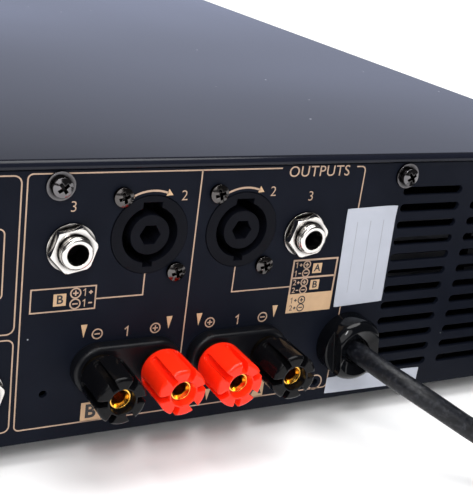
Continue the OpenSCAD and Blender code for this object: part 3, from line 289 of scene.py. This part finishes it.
# Colour, its drift, roughness from and to, and other settings of each finish
FINISHES = {
    "panel_black": ((16, 19, 28), 0.10, (0.42, 0.50),
                    dict(grain=2600, edge=0.3, dust=0.018, Specular_IOR_Level=0.05)),
    "cover_paint": ((20, 22, 31), 0.04, (0.12, 0.135),
                    dict(grain=2200, depth=0.006, edge=0.5, dust=0.032, wave=2.0, Specular_IOR_Level=0.18)),
    "front_black": ((30, 31, 36), 0.12, (0.38, 0.48), dict(grain=4000, stretch=(1, 1, 30), edge=0.5)),
    "tray_black": ((30, 31, 35), 0.15, (0.45, 0.6), dict(edge=0.3)),
    "foot_rubber": ((26, 26, 27), 0.2, (0.7, 0.85), dict(grain=1800, depth=0.06, edge=0.4)),
    # The nickel finishes carry painted shade in their recesses, set by hollow
    "bright_nickel": ((216, 212, 208), 0.06, (0.10, 0.24),
                      dict(metallic=1.0, mottle=400, grain=5000, depth=0.006, edge=0.25, hollow=1.5)),
    "dark_nickel": ((104, 102, 104), 0.10, (0.08, 0.15),
                    dict(metallic=1.0, mottle=500, grain=5000, depth=0.006, edge=0.2, hollow=3.0)),
    "screw_dark": ((84, 81, 80), 0.12, (0.10, 0.20),
                   dict(metallic=1.0, mottle=500, grain=5000, depth=0.006, edge=0.15, hollow=2.0)),
    "zinc_steel": ((180, 182, 186), 0.12, (0.25, 0.45), dict(metallic=1.0, mottle=300, stretch=(1, 1, 14))),
    "washer_dark": ((58, 50, 40), 0.2, (0.3, 0.5), dict(metallic=1.0, mottle=400)),
    "gold": ((232, 180, 84), 0.10, (0.12, 0.26),
             dict(metallic=1.0, mottle=500, grain=5000, depth=0.008, edge=0.15)),
    # Painted shade: the heatsinks' alloy is darker than bare aluminium, so that the inside seen through the vents
    # stays dim
    "sink_alloy": ((62, 63, 67), 0.12, (0.35, 0.5), dict(metallic=1.0, stretch=(1, 0.05, 1))),
    "socket_black": ((12, 13, 19), 0.15, (0.28, 0.36),
                     dict(mottle=200, grain=3500, depth=0.012, edge=0.35, Specular_IOR_Level=0.05)),
    "base_black": ((12, 13, 17), 0.15, (0.30, 0.42),
                   dict(mottle=200, grain=3500, depth=0.012, edge=0.45, Specular_IOR_Level=0.2)),
    "housing_black": ((28, 28, 30), 0.2, (0.5, 0.65), dict(edge=0.3)),
    "gland_black": ((7, 7, 9), 0.15, (0.09, 0.15),
                    dict(mottle=200, grain=1500, depth=0.012, edge=1.4, Specular_IOR_Level=0.22)),
    "gland_gloss": ((8, 9, 12), 0.15, (0.06, 0.10),
                    dict(mottle=200, grain=1500, depth=0.006, edge=0.3, Specular_IOR_Level=0.2)),
    "cap_black": ((9, 9, 11), 0.15, (0.08, 0.15),
                  dict(mottle=240, grain=1200, depth=0.01, edge=0.6, Specular_IOR_Level=0.12)),
    "cap_red": ((250, 40, 14), 0.05, (0.08, 0.16),
                dict(mottle=160, grain=1200, depth=0.01, edge=0.6, Subsurface_Weight=0.06,
                     Specular_IOR_Level=0.25)),
    "cord_black": ((12, 14, 20), 0.5, (0.28, 0.55),
                   dict(mottle=400, grain=1400, depth=0.08, scuff=0.06, Specular_IOR_Level=0.26)),
    "switch_grey": ((205, 205, 208), 0.06, (0.45, 0.55), dict(edge=0.2)),
    "rocker_red": ((168, 26, 20), 0.1, (0.2, 0.32), dict(edge=0.4)),
    "knob_black": ((30, 31, 34), 0.15, (0.40, 0.52), dict(grain=2400, depth=0.03, edge=0.3)),
    "lens_clear": ((205, 235, 214), 0.08, (0.08, 0.18), dict(mottle=600, edge=0.2, Transmission_Weight=0.35)),
    "winding_tape": ((190, 160, 92), 0.25, (0.35, 0.55),
                     dict(mottle=60, grain=900, depth=0.2, stretch=(1, 1, 0.1))),
    "board_green": ((38, 96, 62), 0.2, (0.3, 0.45), dict(mottle=300)),
    "ink": ((170, 143, 122), 0.08, (0.45, 0.6), dict(mottle=300, grain=2600, depth=0.01)),
    "ink_fill": ((190, 157, 122), 0.06, (0.45, 0.6), dict(mottle=300, grain=2600, depth=0.01)),
    "ink_dark": ((22, 23, 28), 0.1, (0.45, 0.6), {}),
    "ink_pale": ((214, 212, 206), 0.05, (0.45, 0.6), {}),
    "paper": ((172, 176, 187), 0.03, (0.38, 0.5), dict(mottle=150, grain=1500, depth=0.03)),
    "paper_rule": ((150, 152, 160), 0.1, (0.5, 0.6), {}),
}
# Nodes whose finish differs from the rest of their slot, by the start of their names
OWN_FINISHES = {"post_washer": "washer_dark", "post_base": "base_black", "connector_screws": "screw_dark"}

finishes = {name: finish(name, *values, **options) for name, (*values, options) in FINISHES.items()}


def dress_nodes():
    for part in frame["record"]["subparts"]:
        node = part["node"]
        own = [name for start, name in OWN_FINISHES.items() if node.startswith(start)]
        slots = frame["nodes"][node].data.materials
        slots.clear()
        slots.append(finishes[own[0] if own else part["material_slot"]])
    cord.data.materials.append(finishes["cord_black"])


dress_nodes()


# Mesh helpers, in millimetres

SHARP = math.radians(50)
CORNER_STEPS = 5


def make_piece(name, verts, faces, place, material, slot, smooth_faces=False, body="chassis", sharp=SHARP):
    """A mesh from points in a local frame, riding on a body."""
    mesh = bpy.data.meshes.new(name)
    mesh.from_pydata([tuple(c * MM for c in v) for v in verts], [], faces)
    mesh.transform(place)
    mesh.materials.append(finishes[material])
    mesh.polygons.foreach_set("use_smooth", [smooth_faces] * len(mesh.polygons))
    mesh.set_sharp_from_angle(angle=sharp)
    mesh.update()
    piece = bpy.data.objects.new(name, mesh)
    scene.collection.objects.link(piece)
    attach(piece, body)
    return piece


def tube(rings, close):
    """Points and faces of a tube whose cross-sections are the given rings. Ends that don't close are capped."""
    n, count = len(rings[0]), len(rings)
    faces = []
    for i in range(count if close else count - 1):
        a, b = i * n, (i + 1) % count * n
        faces += [(a + k, a + (k + 1) % n, b + (k + 1) % n, b + k) for k in range(n)]
    if not close:
        faces += [tuple(reversed(range(n))), tuple(range((count - 1) * n, count * n))]
    return [point for ring in rings for point in ring], faces


def polar(x, y, r, angle):
    turn = math.radians(angle)
    return (x + r * math.cos(turn), y + r * math.sin(turn))


def arc(x, y, r, start, end, steps):
    return [polar(x, y, r, start + (end - start) * i / steps) for i in range(steps + 1)]


def box(x0, y0, x1, y1):
    """Corners of a box, counter-clockwise from its lower left one."""
    return [(x0, y0), (x1, y0), (x1, y1), (x0, y1)]


def rounded(x0, y0, x1, y1, r):
    """Points of a rounded box, counter-clockwise from its lower left corner."""
    corners = box(x0 + r, y0 + r, x1 - r, y1 - r)
    return [p for k, (x, y) in enumerate(corners) for p in arc(x, y, r, 180 + 90 * k, 270 + 90 * k, CORNER_STEPS)]


# Print on the panels: thin raised ink

INK_LOW, INK_HIGH = 0.01, 0.05
OVER_LOW, OVER_HIGH = 0.06, 0.09
LINE = 0.42
RING_STEPS = 28
LEAST_MITRE = 0.3
SIGN_REACH = 0.55
TEXT_STEPS = 4
# Half height, flag, its drop and line width of a figure one, beside its size
ONE_TALL, ONE_FLAG, ONE_DROP, ONE_LINE = 0.35, 0.2, 0.16, 0.085


class Ink:
    """Marks of one colour, collected into one mesh on a panel."""

    def __init__(self, low=INK_LOW, high=INK_HIGH):
        self.low, self.high = low, high
        self.verts, self.faces = [], []

    def add(self, verts, faces):
        start = len(self.verts)
        self.verts += verts
        self.faces += [tuple(start + i for i in face) for face in faces]

    def area(self, loop):
        """A filled shape, its corners given counter-clockwise."""
        self.add(*tube([[(x, y, h) for x, y in loop] for h in (self.low, self.high)], False))

    def stroke(self, points, width=LINE, close=False):
        """A line of even width with mitred corners."""
        n = len(points)
        points = [Vector(p) for p in points]
        rings = []
        for i, p in enumerate(points):
            before = points[i - 1] if close or i else p - (points[1] - p)
            after = points[(i + 1) % n] if close or i < n - 1 else p + (p - points[i - 1])
            a, b = (p - before).normalized(), (after - p).normalized()
            across = Vector((-a.y - b.y, a.x + b.x)).normalized()
            half = width / 2 / max(across.dot(Vector((-a.y, a.x))), LEAST_MITRE)
            left, right = p + across * half, p - across * half
            rings.append([(*left, self.low), (*right, self.low), (*right, self.high), (*left, self.high)])
        self.add(*tube(rings, close))

    def ring(self, x, y, r, width=LINE):
        self.stroke(arc(x, y, r, 0, 360, RING_STEPS)[:-1], width, True)

    def sign(self, x, y, r, plus, width=LINE):
        """A ringed plus or minus sign."""
        self.ring(x, y, r, width)
        self.bars(x, y, r * SIGN_REACH, plus, width)

    def bars(self, x, y, reach, plus, width=LINE):
        """A plus or minus sign."""
        self.stroke([(x - reach, y), (x + reach, y)], width)
        if plus:
            for s in (-1, 1):
                self.stroke([(x, y + s * width / 2), (x, y + s * reach)], width)

    def one(self, x, y, size):
        """A figure one with a flag, which the plain font lacks."""
        tall, flag, drop = size * ONE_TALL, size * ONE_FLAG, size * ONE_DROP
        self.stroke([(x - flag, y + tall - drop), (x, y + tall), (x, y - tall)], size * ONE_LINE)

    def text(self, words, x, y, size, spacing=1.0, bold=0.0):
        """Plain letters or figures, centred on a point and thickened by bold."""
        if words == "1":
            self.one(x, y, size)
            return
        data = bpy.data.curves.new("words", "FONT")
        data.body = words
        data.size = size
        data.space_character = spacing
        data.align_x, data.align_y = "CENTER", "CENTER"
        data.extrude = (self.high - self.low) / 2
        data.offset = bold
        data.resolution_u = TEXT_STEPS
        letters = bpy.data.objects.new("words", data)
        mesh = bpy.data.meshes.new_from_object(letters)
        place = Matrix.Translation((x, y, (self.low + self.high) / 2))
        self.add([tuple(place @ v.co) for v in mesh.vertices], [p.vertices for p in mesh.polygons])
        bpy.data.objects.remove(letters)
        bpy.data.curves.remove(data)
        bpy.data.meshes.remove(mesh)

    def piece(self, name, panel, material, slot, body="chassis"):
        make_piece(name, self.verts, self.faces, panel, material, slot, body=body)


# Output section: places across the panel and heights on it

OUT_FRAME = (-2.0, 4.7, 108.0, 83.8)
OUT_FRAME_R = 1.5
OUT_MIDLINE = 50.1
HEADING_GAP = (77.2, 104.6)
HEADING_DROP = 1.35
HEADING_SIZE, HEADING_SPACING = 4.9, 1.06

ROUND_SOCKETS = [(35.3, 64.6), (65.7, 64.6)]
ARROW_R, ARROW_FROM, ARROW_TO, ARROW_STEPS = 13.4, 118, 70, 14
ARROW_LINE = 0.6
ARROW_DOT_AT, ARROW_DOT_R = 119, 0.35
ARROW_HEAD = [(12.4, 71), (13.4, 62.5), (14.6, 71)]

FIGURES = [("3", 11.5, 74.0), ("3", 89.0, 74.4), ("2", 45.2, 76.1), ("2", 75.1, 76.4), ("1", 31.3, 33.9),
           ("1", 69.0, 34.0)]
FIGURE_SIZE, FIGURE_BOLD = 4.5, -0.04
POST_SIGNS = [(21.7, False), (40.4, True), (59.0, True), (78.0, False)]
POST_SIGN_Z, POST_SIGN_R = 34.1, 1.55
WEDGES = [(17.4, 35.4), (44.8, 35.5), (55.0, 35.5), (82.2, 35.7), (61.5, 8.1)]
WEDGE_W, WEDGE_H = 1.0, 2.1
LETTER_BOLD = 0.08

# Left pin table, and the line to its socket. Its rows: height, and if both signs beside the figure are plus
LEFT_TABLE = (0.7, 42.6, 20.1, 49.8)
LEFT_BLOCK = (7.4, 44.2, 11.2, 48.0)
LEFT_LETTER = ("B", 9.3, 46.1, 3.8)
LEFT_ROWS = [(47.85, True), (44.5, False)]
LEFT_SIGN_U, LEFT_SIGN_R = 14.0, 1.5
LEFT_FIGURE_U, LEFT_FIGURE_SIZE = 16.9, 3.2
LEFT_BARS_U, LEFT_BARS_REACH = 18.6, 0.6
LEFT_LEAD = [(20.1, 45.6), (35.0, 45.6), (35.0, 52.4)]

# Right pin table, with a filled block below it. Its rows: height, figure, and if its sign and the ringed one are plus
RIGHT_LEFT, RIGHT_RIGHT, RIGHT_LOW, RIGHT_MID, RIGHT_HIGH = 86.8, 103.4, 41.2, 46.8, 52.9
RIGHT_LINE = 0.6
BLOCK_LOW = 34.5
RIGHT_ROWS = [(51.25, "1", True, True), (48.35, "1", False, False), (45.15, "2", True, True),
              (42.45, "2", False, False)]
BLOCK_ROWS = [(38.9, "1", True, True), (36.2, "2", True, False)]
RIGHT_FIGURE_U, RIGHT_FIGURE_SIZE = 88.2, 2.7
RIGHT_BARS_U, RIGHT_BARS_REACH, RIGHT_BARS_LINE = 89.6, 0.5, 0.36
RIGHT_SIGN_U, RIGHT_SIGN_R, RIGHT_SIGN_LINE = 91.9, 1.25, 0.38
RIGHT_LETTERS = [("A", 49.8), ("B", 44.0)]
RIGHT_LETTER_U, RIGHT_LETTER_SIZE, RIGHT_LETTER_HALF = 96.0, 3.4, 1.7
RIGHT_LEAD = [(RIGHT_LEFT, 44.0), (65.3, 44.0), (65.3, 52.4)]

# Channel tabs on the frame's lower line, the right one mirrored
OUT_MID = 50.5
TAB = [(18.5, 4.7), (25.1, 4.7), (25.0, 7.6), (22.4, 11.2), (18.5, 11.2)]
TAB_LETTER = (21.5, 7.9)
TAB_LETTER_SIZE, TAB_LETTER_BOLD = 6.4, 0.2
LOW_RING = (103.0, 7.1, 2.65, 0.45)


def mirrored(points):
    """The same shape on the other side of the output section."""
    return [(2 * OUT_MID - x, y) for x, y in reversed(points)]


def print_out_frame(lines):
    """Frame with a gap for the heading, and the line between the channels."""
    left, low, right, high = OUT_FRAME
    edge = rounded(left, low, right, high, OUT_FRAME_R)
    upper_left = 3 * (CORNER_STEPS + 1)
    lines.stroke([(HEADING_GAP[0], high)] + edge[upper_left:] + edge[:upper_left] + [(HEADING_GAP[1], high)])
    lines.text("OUTPUTS", sum(HEADING_GAP) / 2, high - HEADING_DROP, HEADING_SIZE, HEADING_SPACING)
    lines.stroke([(OUT_MIDLINE, high), (OUT_MIDLINE, low)])


def print_out_marks(lines, fills):
    """Turning arrows over the round sockets, figures, and the posts' signs and wedges."""
    for x, y in ROUND_SOCKETS:
        lines.stroke(arc(x, y, ARROW_R, ARROW_FROM, ARROW_TO, ARROW_STEPS), ARROW_LINE)
        lines.ring(*polar(x, y, ARROW_R, ARROW_DOT_AT), ARROW_DOT_R, ARROW_LINE)
        fills.area([polar(x, y, r, angle) for r, angle in ARROW_HEAD])
    for figure, x, y in FIGURES:
        lines.text(figure, x, y, FIGURE_SIZE, bold=FIGURE_BOLD)
    for x, plus in POST_SIGNS:
        lines.sign(x, POST_SIGN_Z, POST_SIGN_R, plus)
    for x, y in WEDGES:
        fills.area([(x, y - WEDGE_H), (x + WEDGE_W, y + WEDGE_H), (x - WEDGE_W, y + WEDGE_H)])


def print_left_table(lines, fills, dark):
    lines.stroke(box(*LEFT_TABLE), close=True)
    fills.area(box(*LEFT_BLOCK))
    dark.text(*LEFT_LETTER, bold=LETTER_BOLD)
    for y, plus in LEFT_ROWS:
        lines.sign(LEFT_SIGN_U, y, LEFT_SIGN_R, plus)
        lines.text("1", LEFT_FIGURE_U, y, LEFT_FIGURE_SIZE)
        lines.bars(LEFT_BARS_U, y, LEFT_BARS_REACH, plus)
    lines.stroke(LEFT_LEAD)


def print_right_table(lines, fills, dark):
    rim = RIGHT_LINE / 2
    lines.stroke([(RIGHT_RIGHT, RIGHT_LOW), (RIGHT_RIGHT, RIGHT_HIGH), (RIGHT_LEFT, RIGHT_HIGH),
                  (RIGHT_LEFT, RIGHT_LOW)], RIGHT_LINE)
    lines.stroke([(RIGHT_LEFT, RIGHT_MID), (RIGHT_RIGHT, RIGHT_MID)], RIGHT_LINE)
    fills.area(box(RIGHT_LEFT - rim, BLOCK_LOW, RIGHT_RIGHT + rim, RIGHT_LOW))
    for layer, rows in ((lines, RIGHT_ROWS), (dark, BLOCK_ROWS)):
        for y, figure, plus, ringed_plus in rows:
            layer.sign(RIGHT_SIGN_U, y, RIGHT_SIGN_R, ringed_plus, RIGHT_SIGN_LINE)
            layer.text(figure, RIGHT_FIGURE_U, y, RIGHT_FIGURE_SIZE)
            layer.bars(RIGHT_BARS_U, y, RIGHT_BARS_REACH, plus, RIGHT_BARS_LINE)
    half = RIGHT_LETTER_HALF
    for letter, y in RIGHT_LETTERS:
        fills.area(box(RIGHT_LETTER_U - half, y - half, RIGHT_LETTER_U + half, y + half))
        dark.text(letter, RIGHT_LETTER_U, y, RIGHT_LETTER_SIZE, bold=LETTER_BOLD)
    lines.stroke(RIGHT_LEAD)


def print_tabs(lines, fills, dark):
    for letter, loop, place in (("B", TAB, [TAB_LETTER]), ("A", mirrored(TAB), mirrored([TAB_LETTER]))):
        fills.area(loop)
        dark.text(letter, *place[0], TAB_LETTER_SIZE, bold=TAB_LETTER_BOLD)
    lines.ring(*LOW_RING)


# Input section, mostly out of the photograph: frames with their corner radii, pin rows with a bare ring, a plus
# and a minus sign, then letters and figures with their sizes

IN_FRAMES = [(-108, 36.7, -3.6, 83.4, 2.2), (-108, 4.8, -3.6, 34.9, 2.0), (-16.6, 47.6, -7.6, 68.5, 1.6)]
PIN_ROWS = [("1", 63.6, None), ("2", 58.0, True), ("3", 52.4, False)]
PIN_FIGURE_U, PIN_FIGURE_SIZE = -14.2, 3.2
PIN_SIGN_U, PIN_SIGN_R = -10.4, 1.3
IN_MARKS = [("A", -32, 79.8, 4.2), ("B", -74, 79.8, 4.2), ("A", -13, 30.0, 4.0), ("B", -43, 30.0, 4.0),
            ("1", -88.5, 13.4, 3.2), ("2", -82, 13.4, 3.2), ("3", -75.5, 13.4, 3.2)]


def print_inputs(lines):
    for edges in IN_FRAMES:
        lines.stroke(rounded(*edges), close=True)
    for figure, y, plus in PIN_ROWS:
        lines.text(figure, PIN_FIGURE_U, y, PIN_FIGURE_SIZE)
        if plus is None:
            lines.ring(PIN_SIGN_U, y, PIN_SIGN_R)
        else:
            lines.sign(PIN_SIGN_U, y, PIN_SIGN_R, plus)
    for words, x, y, size in IN_MARKS:
        lines.text(words, x, y, size)


def print_rear():
    lines, fills, dark = Ink(), Ink(), Ink(OVER_LOW, OVER_HIGH)
    print_out_frame(lines)
    print_out_marks(lines, fills)
    print_left_table(lines, fills, dark)
    print_right_table(lines, fills, dark)
    print_tabs(lines, fills, dark)
    print_inputs(lines)
    lines.piece("print_lines", REAR, "ink", "panel_black")
    fills.piece("print_fills", REAR, "ink_fill", "panel_black")
    dark.piece("print_dark", REAR, "ink_dark", "panel_black")


print_rear()


# Stickers: blank labels with rounded corners. The upright one is ruled, and one of its corners is a little lifted

SHEET_T = 0.10
SHEET_LOW = 0.06
SHEET_R = 0.3
SHEET_STEPS = (14, 20)
LIFT_REACH = 6.0
# Place across, height and turn, then width and height of each sticker, and the lift of the upright one's corner
UPRIGHT_AT, UPRIGHT_SIZE, UPRIGHT_LIFT = (114.3, 52.7, 1.9), (19.6, 34.6), 0.5
LOW_AT, LOW_SIZE = (127.7, 4.7, -1.2), (39.8, 6.2)
RULES = (-5.2, 0.0, 5.2)
RULE_HALF = 12.5
RULE_LINE = 0.25
RULE_LOW, RULE_HIGH = 0.17, 0.18


def sheet_point(px, py, h, width, height, lift):
    """A point of a sticker, moved in at a rounded corner and up near the lifted one."""
    cx, cy = width / 2 - SHEET_R, height / 2 - SHEET_R
    if abs(px) > cx and abs(py) > cy:
        d = Vector((abs(px) - cx, abs(py) - cy))
        d *= SHEET_R / max(d.length, SHEET_R)
        px, py = math.copysign(cx + d.x, px), math.copysign(cy + d.y, py)
    near = max(0.0, 1 - math.hypot(width / 2 - px, height / 2 - py) / LIFT_REACH)
    return (px, py, SHEET_LOW + h + lift * near * near)


def sticker(name, place, width, height, lift):
    """A thin closed sheet whose top right corner stands up by lift."""
    across, up = SHEET_STEPS
    verts, faces = [], []
    for h in (0, SHEET_T):
        verts += [sheet_point(width * (i / across - 0.5), height * (j / up - 0.5), h, width, height, lift)
                  for j in range(up + 1) for i in range(across + 1)]
    row, layer = across + 1, (across + 1) * (up + 1)
    for j in range(up):
        for i in range(across):
            a = j * row + i
            faces.append((a, a + row, a + row + 1, a + 1))
            faces.append((a + layer, a + layer + 1, a + layer + row + 1, a + layer + row))
    rim = list(range(across)) + [j * row + across for j in range(up)]
    rim += [up * row + i for i in range(across, 0, -1)] + [j * row for j in range(up, 0, -1)]
    for a, b in zip(rim, rim[1:] + rim[:1]):
        faces.append((a, b, b + layer, a + layer))
    make_piece(name, verts, faces, place, "paper", "panel_black", True)


def make_stickers():
    upright = rear_place(*UPRIGHT_AT)
    sticker("label_upright", upright, *UPRIGHT_SIZE, UPRIGHT_LIFT)
    rules = Ink(RULE_LOW, RULE_HIGH)
    for x in RULES:
        rules.stroke([(x, -RULE_HALF), (x, RULE_HALF)], RULE_LINE)
    rules.piece("label_rules", upright, "paper_rule", "panel_black")
    sticker("label_low", rear_place(*LOW_AT), *LOW_SIZE, 0.0)


make_stickers()


# Thread crests on the jacks' barrels: radius and height of the profile's points

JACKS = [(11.4, 62.2), (88.4, 62.2), (-13.2, 19.4), (-43.2, 19.4)]
BARREL_R = 4.6
THREAD_LOW, THREAD_START, THREAD_HIGH = 3.75, 3.8, 5.62
THREAD_PITCH = 0.6
CRESTS = 3
CREST = [(4.72, 0.0), (4.86, 0.24), (4.86, 0.34), (4.72, 0.58)]
THREAD_SIDES = 48


def make_threads():
    profile = [(BARREL_R, THREAD_LOW)]
    profile += [(r, THREAD_START + THREAD_PITCH * k + h) for k in range(CRESTS) for r, h in CREST]
    profile += [(BARREL_R, THREAD_HIGH)]
    for k, (u, z) in enumerate(JACKS):
        rings = [[(x, y, h) for x, y in arc(u, z, r, 0, 360, THREAD_SIDES)[:-1]] for r, h in profile]
        make_piece(f"jack_thread_{k}", *tube(rings, True), REAR, "bright_nickel", "bright_nickel", True)


make_threads()


# Head of the cable gland: a domed round with a flat for the pliers on each side

GLAND = (111.8, 21.9)
GLAND_TURN = 8.0
GLAND_FLAT = 7.42
GLAND_SHARP = math.radians(30)
LEAST_FLAT = 8.0
FLAT_STEPS, ROUND_STEPS = 6, 26
# Radius and height of each level: round skirt over the flange, dome with flats, mouth and bore
GLAND_BASE = [(10.85, 0.03), (10.85, 5.6)]
GLAND_DOME = [(10.85, 5.7), (10.8, 7.0), (10.66, 7.6), (10.42, 8.15), (10.08, 8.65), (9.66, 9.1), (9.2, 9.48),
              (8.75, 9.78), (8.4, 9.95), (8.1, 10.0)]
GLAND_MOUTH = [(5.0, 8.7), (4.5, 8.4), (4.2, 8.0), (4.2, 7.6), (5.3, 7.5), (5.3, 3.02), (10.72, 3.02), (10.72, 0.03)]


def gland_ring(radius, height, cut):
    """One level of the head, cut at the flats where it reaches past them."""
    half = max(math.degrees(math.acos(min(GLAND_FLAT / radius, 1))), LEAST_FLAT)
    points = []
    for side in (0, 180):
        points += arc(0, 0, radius, side - half, side + half, FLAT_STEPS)[:-1]
        points += arc(0, 0, radius, side + half, side + 180 - half, ROUND_STEPS)[:-1]
    reach = GLAND_FLAT if cut else radius
    return [(max(-reach, min(reach, x)), y, height) for x, y in points]


def make_gland_head():
    rings = [gland_ring(*level, False) for level in GLAND_BASE]
    rings += [gland_ring(*level, True) for level in GLAND_DOME]
    rings += [gland_ring(*level, False) for level in GLAND_MOUTH]
    piece = make_piece("gland_head", *tube(rings, True), rear_place(*GLAND, GLAND_TURN), "gland_gloss",
                       "gland_black", True, sharp=GLAND_SHARP)
    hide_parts("gland_nut")


make_gland_head()


# Front panel print: dial marks and figures, and the pale inlays in the knobs' grooves

KNOBS = {"a": 88.0, "b": 140.0}
KNOB_Z = 44.0
KNOB_L = 16.0
GROOVE_DEPTH = 0.6
INLAY_LOW, INLAY_HIGH = 0.02, 0.3
INLAY_FROM, INLAY_TO = 4.0, 9.4
INLAY_W = 1.0
DIAL_STEPS = 11
DIAL_LONG_EVERY = 5
DIAL_FIRST, DIAL_STEP = 240, 30
DIAL_IN, DIAL_OUT, DIAL_LONG = 14.6, 16.6, 17.4
DIAL_LINE = 0.5
DIAL_FIGURE_R, DIAL_FIGURE_SIZE = 19.6, 3.0
POWER_U = 192.0
POWER_BAR = (60.2, 63.4)
POWER_BAR_LINE = 0.6
POWER_RING_Z, POWER_RING_R, POWER_RING_LINE = 24.0, 1.6, 0.5


def print_front():
    marks = Ink()
    for x in KNOBS.values():
        for k in range(DIAL_STEPS):
            angle = DIAL_FIRST - DIAL_STEP * k
            reach = DIAL_OUT if k % DIAL_LONG_EVERY else DIAL_LONG
            marks.stroke([polar(x, KNOB_Z, r, angle) for r in (DIAL_IN, reach)], DIAL_LINE)
            marks.text(str(k), *polar(x, KNOB_Z, DIAL_FIGURE_R, angle), DIAL_FIGURE_SIZE)
    marks.stroke([(POWER_U, z) for z in POWER_BAR], POWER_BAR_LINE)
    marks.ring(POWER_U, POWER_RING_Z, POWER_RING_R, POWER_RING_LINE)
    marks.piece("print_front", FRONT, "ink_pale", "front_black")


def make_pointers():
    floor = KNOB_L - GROOVE_DEPTH
    for channel, x in KNOBS.items():
        inlay = Ink(floor + INLAY_LOW, floor + INLAY_HIGH)
        inlay.stroke([(x, KNOB_Z + INLAY_FROM), (x, KNOB_Z + INLAY_TO)], INLAY_W)
        inlay.piece(f"knob_pointer_{channel}", FRONT, "ink_pale", "knob_black", f"gain_{channel}")


print_front()
make_pointers()


# Stage: pale floor, white surround and soft lamps, in metres and watts

WHITE = (1, 1, 1, 1)
FLOOR_SIZE = 12
FLOOR_SCALE = 3.0
FLOOR_TONES = ((0.93, 0.93, 0.935, 1), (0.95, 0.95, 0.955, 1))
FLOOR_ROUGH, FLOOR_GLOSS = 0.9, 0.1
FLOOR_GLOW = 0.65
GLOW_FROM, GLOW_TO = 0.32, 1.5
SURROUND_LEVEL = 0.38
ROOM_LEVEL = 0.06
WALL_TOP_LEVEL = 0.12
WALL_RISE = (0.1, 0.4)
WALL_TO_ROOM = (-0.5, 0.3)
WALL_TINT = (210, 220, 255)
LAMP_AIM = (-0.05, 0.2, 0.05)
# Place, width and height, and power of each lamp
LAMPS = {
    "key": ((-0.25, 0.22, 1.35), (1.1, 1.1), 19.0),
    "fill": ((0.4, 1.2, 0.8), (1.2, 1.2), 7.5),
    "glint": ((0.29, 0.99, 1.00), (0.12, 0.5), 5.0),
}


def make_floor():
    """A pale floor that keeps the shadow near the object, and goes over to white to the eye further away."""
    bpy.ops.mesh.primitive_plane_add(size=FLOOR_SIZE, location=(0, 0, 0))
    floor = bpy.context.object
    floor.name = "floor"
    graph = Graph("floor")
    graph.set(Base_Color=graph.ramp(graph.noise(FLOOR_SCALE), *FLOOR_TONES), Roughness=FLOOR_ROUGH,
              Specular_IOR_Level=FLOOR_GLOSS)
    ray = graph.add("ShaderNodeLightPath").outputs
    seen = graph.add("ShaderNodeMath", {0: ray["Is Camera Ray"], 1: ray["Is Glossy Ray"]}, operation="ADD")
    away = graph.add("ShaderNodeVectorMath", {0: graph.place}, operation="LENGTH").outputs["Value"]
    white = graph.spread(away, 0.0, FLOOR_GLOW, GLOW_FROM, GLOW_TO)
    glow = graph.add("ShaderNodeMath", {0: seen.outputs["Value"], 1: white}, operation="MULTIPLY")
    graph.set(Emission_Color=WHITE, Emission_Strength=glow.outputs["Value"])
    floor.data.materials.append(graph.material)


def make_surround(level):
    """White to the eye, an even soft light, and for reflections a white wall behind and a dim room in front."""
    world = bpy.data.worlds.new("surround")
    scene.world = world
    world.use_nodes = True
    tree = world.node_tree

    def node(kind, *inputs, **settings):
        made = tree.nodes.new(kind)
        for key, value in settings.items():
            setattr(made, key, value)
        for socket, value in zip(made.inputs, inputs):
            if isinstance(value, bpy.types.NodeSocket):
                tree.links.new(value, socket)
            else:
                socket.default_value = value
        return made.outputs

    def math_node(operation, *inputs):
        return node("ShaderNodeMath", *inputs, operation=operation)["Value"]

    ray = node("ShaderNodeLightPath")
    way = node("ShaderNodeSeparateXYZ", node("ShaderNodeTexCoord")["Generated"])
    rise = node("ShaderNodeMapRange", way["Z"], *WALL_RISE, 1.0, WALL_TOP_LEVEL)["Result"]
    wall = node("ShaderNodeMapRange", way["Y"], *WALL_TO_ROOM, rise, ROOM_LEVEL)["Result"]
    clear = math_node("MAXIMUM", ray["Is Camera Ray"], ray["Is Transmission Ray"])
    seen = math_node("MULTIPLY_ADD", clear, 1 - level, level)
    change = math_node("SUBTRACT", wall, level)
    strength = math_node("MULTIPLY_ADD", ray["Is Glossy Ray"], change, seen)
    blue = math_node("MULTIPLY", ray["Is Glossy Ray"], wall)
    tint = node("ShaderNodeMixRGB", blue, WHITE, linear(WALL_TINT))["Color"]
    background = tree.nodes["Background"]
    tree.links.new(tint, background.inputs["Color"])
    tree.links.new(strength, background.inputs["Strength"])


def make_lamp(name, place, size, energy):
    data = bpy.data.lights.new(name, "AREA")
    data.shape = "ELLIPSE"
    data.size, data.size_y = size
    data.energy = energy
    light = bpy.data.objects.new(name, data)
    light.location = place
    aim = Vector(LAMP_AIM) - Vector(place)
    light.rotation_euler = aim.to_track_quat("-Z", "Y").to_euler()
    scene.collection.objects.link(light)


make_floor()
make_surround(SURROUND_LEVEL)
for lamp_name, settings in LAMPS.items():
    make_lamp(lamp_name, *settings)
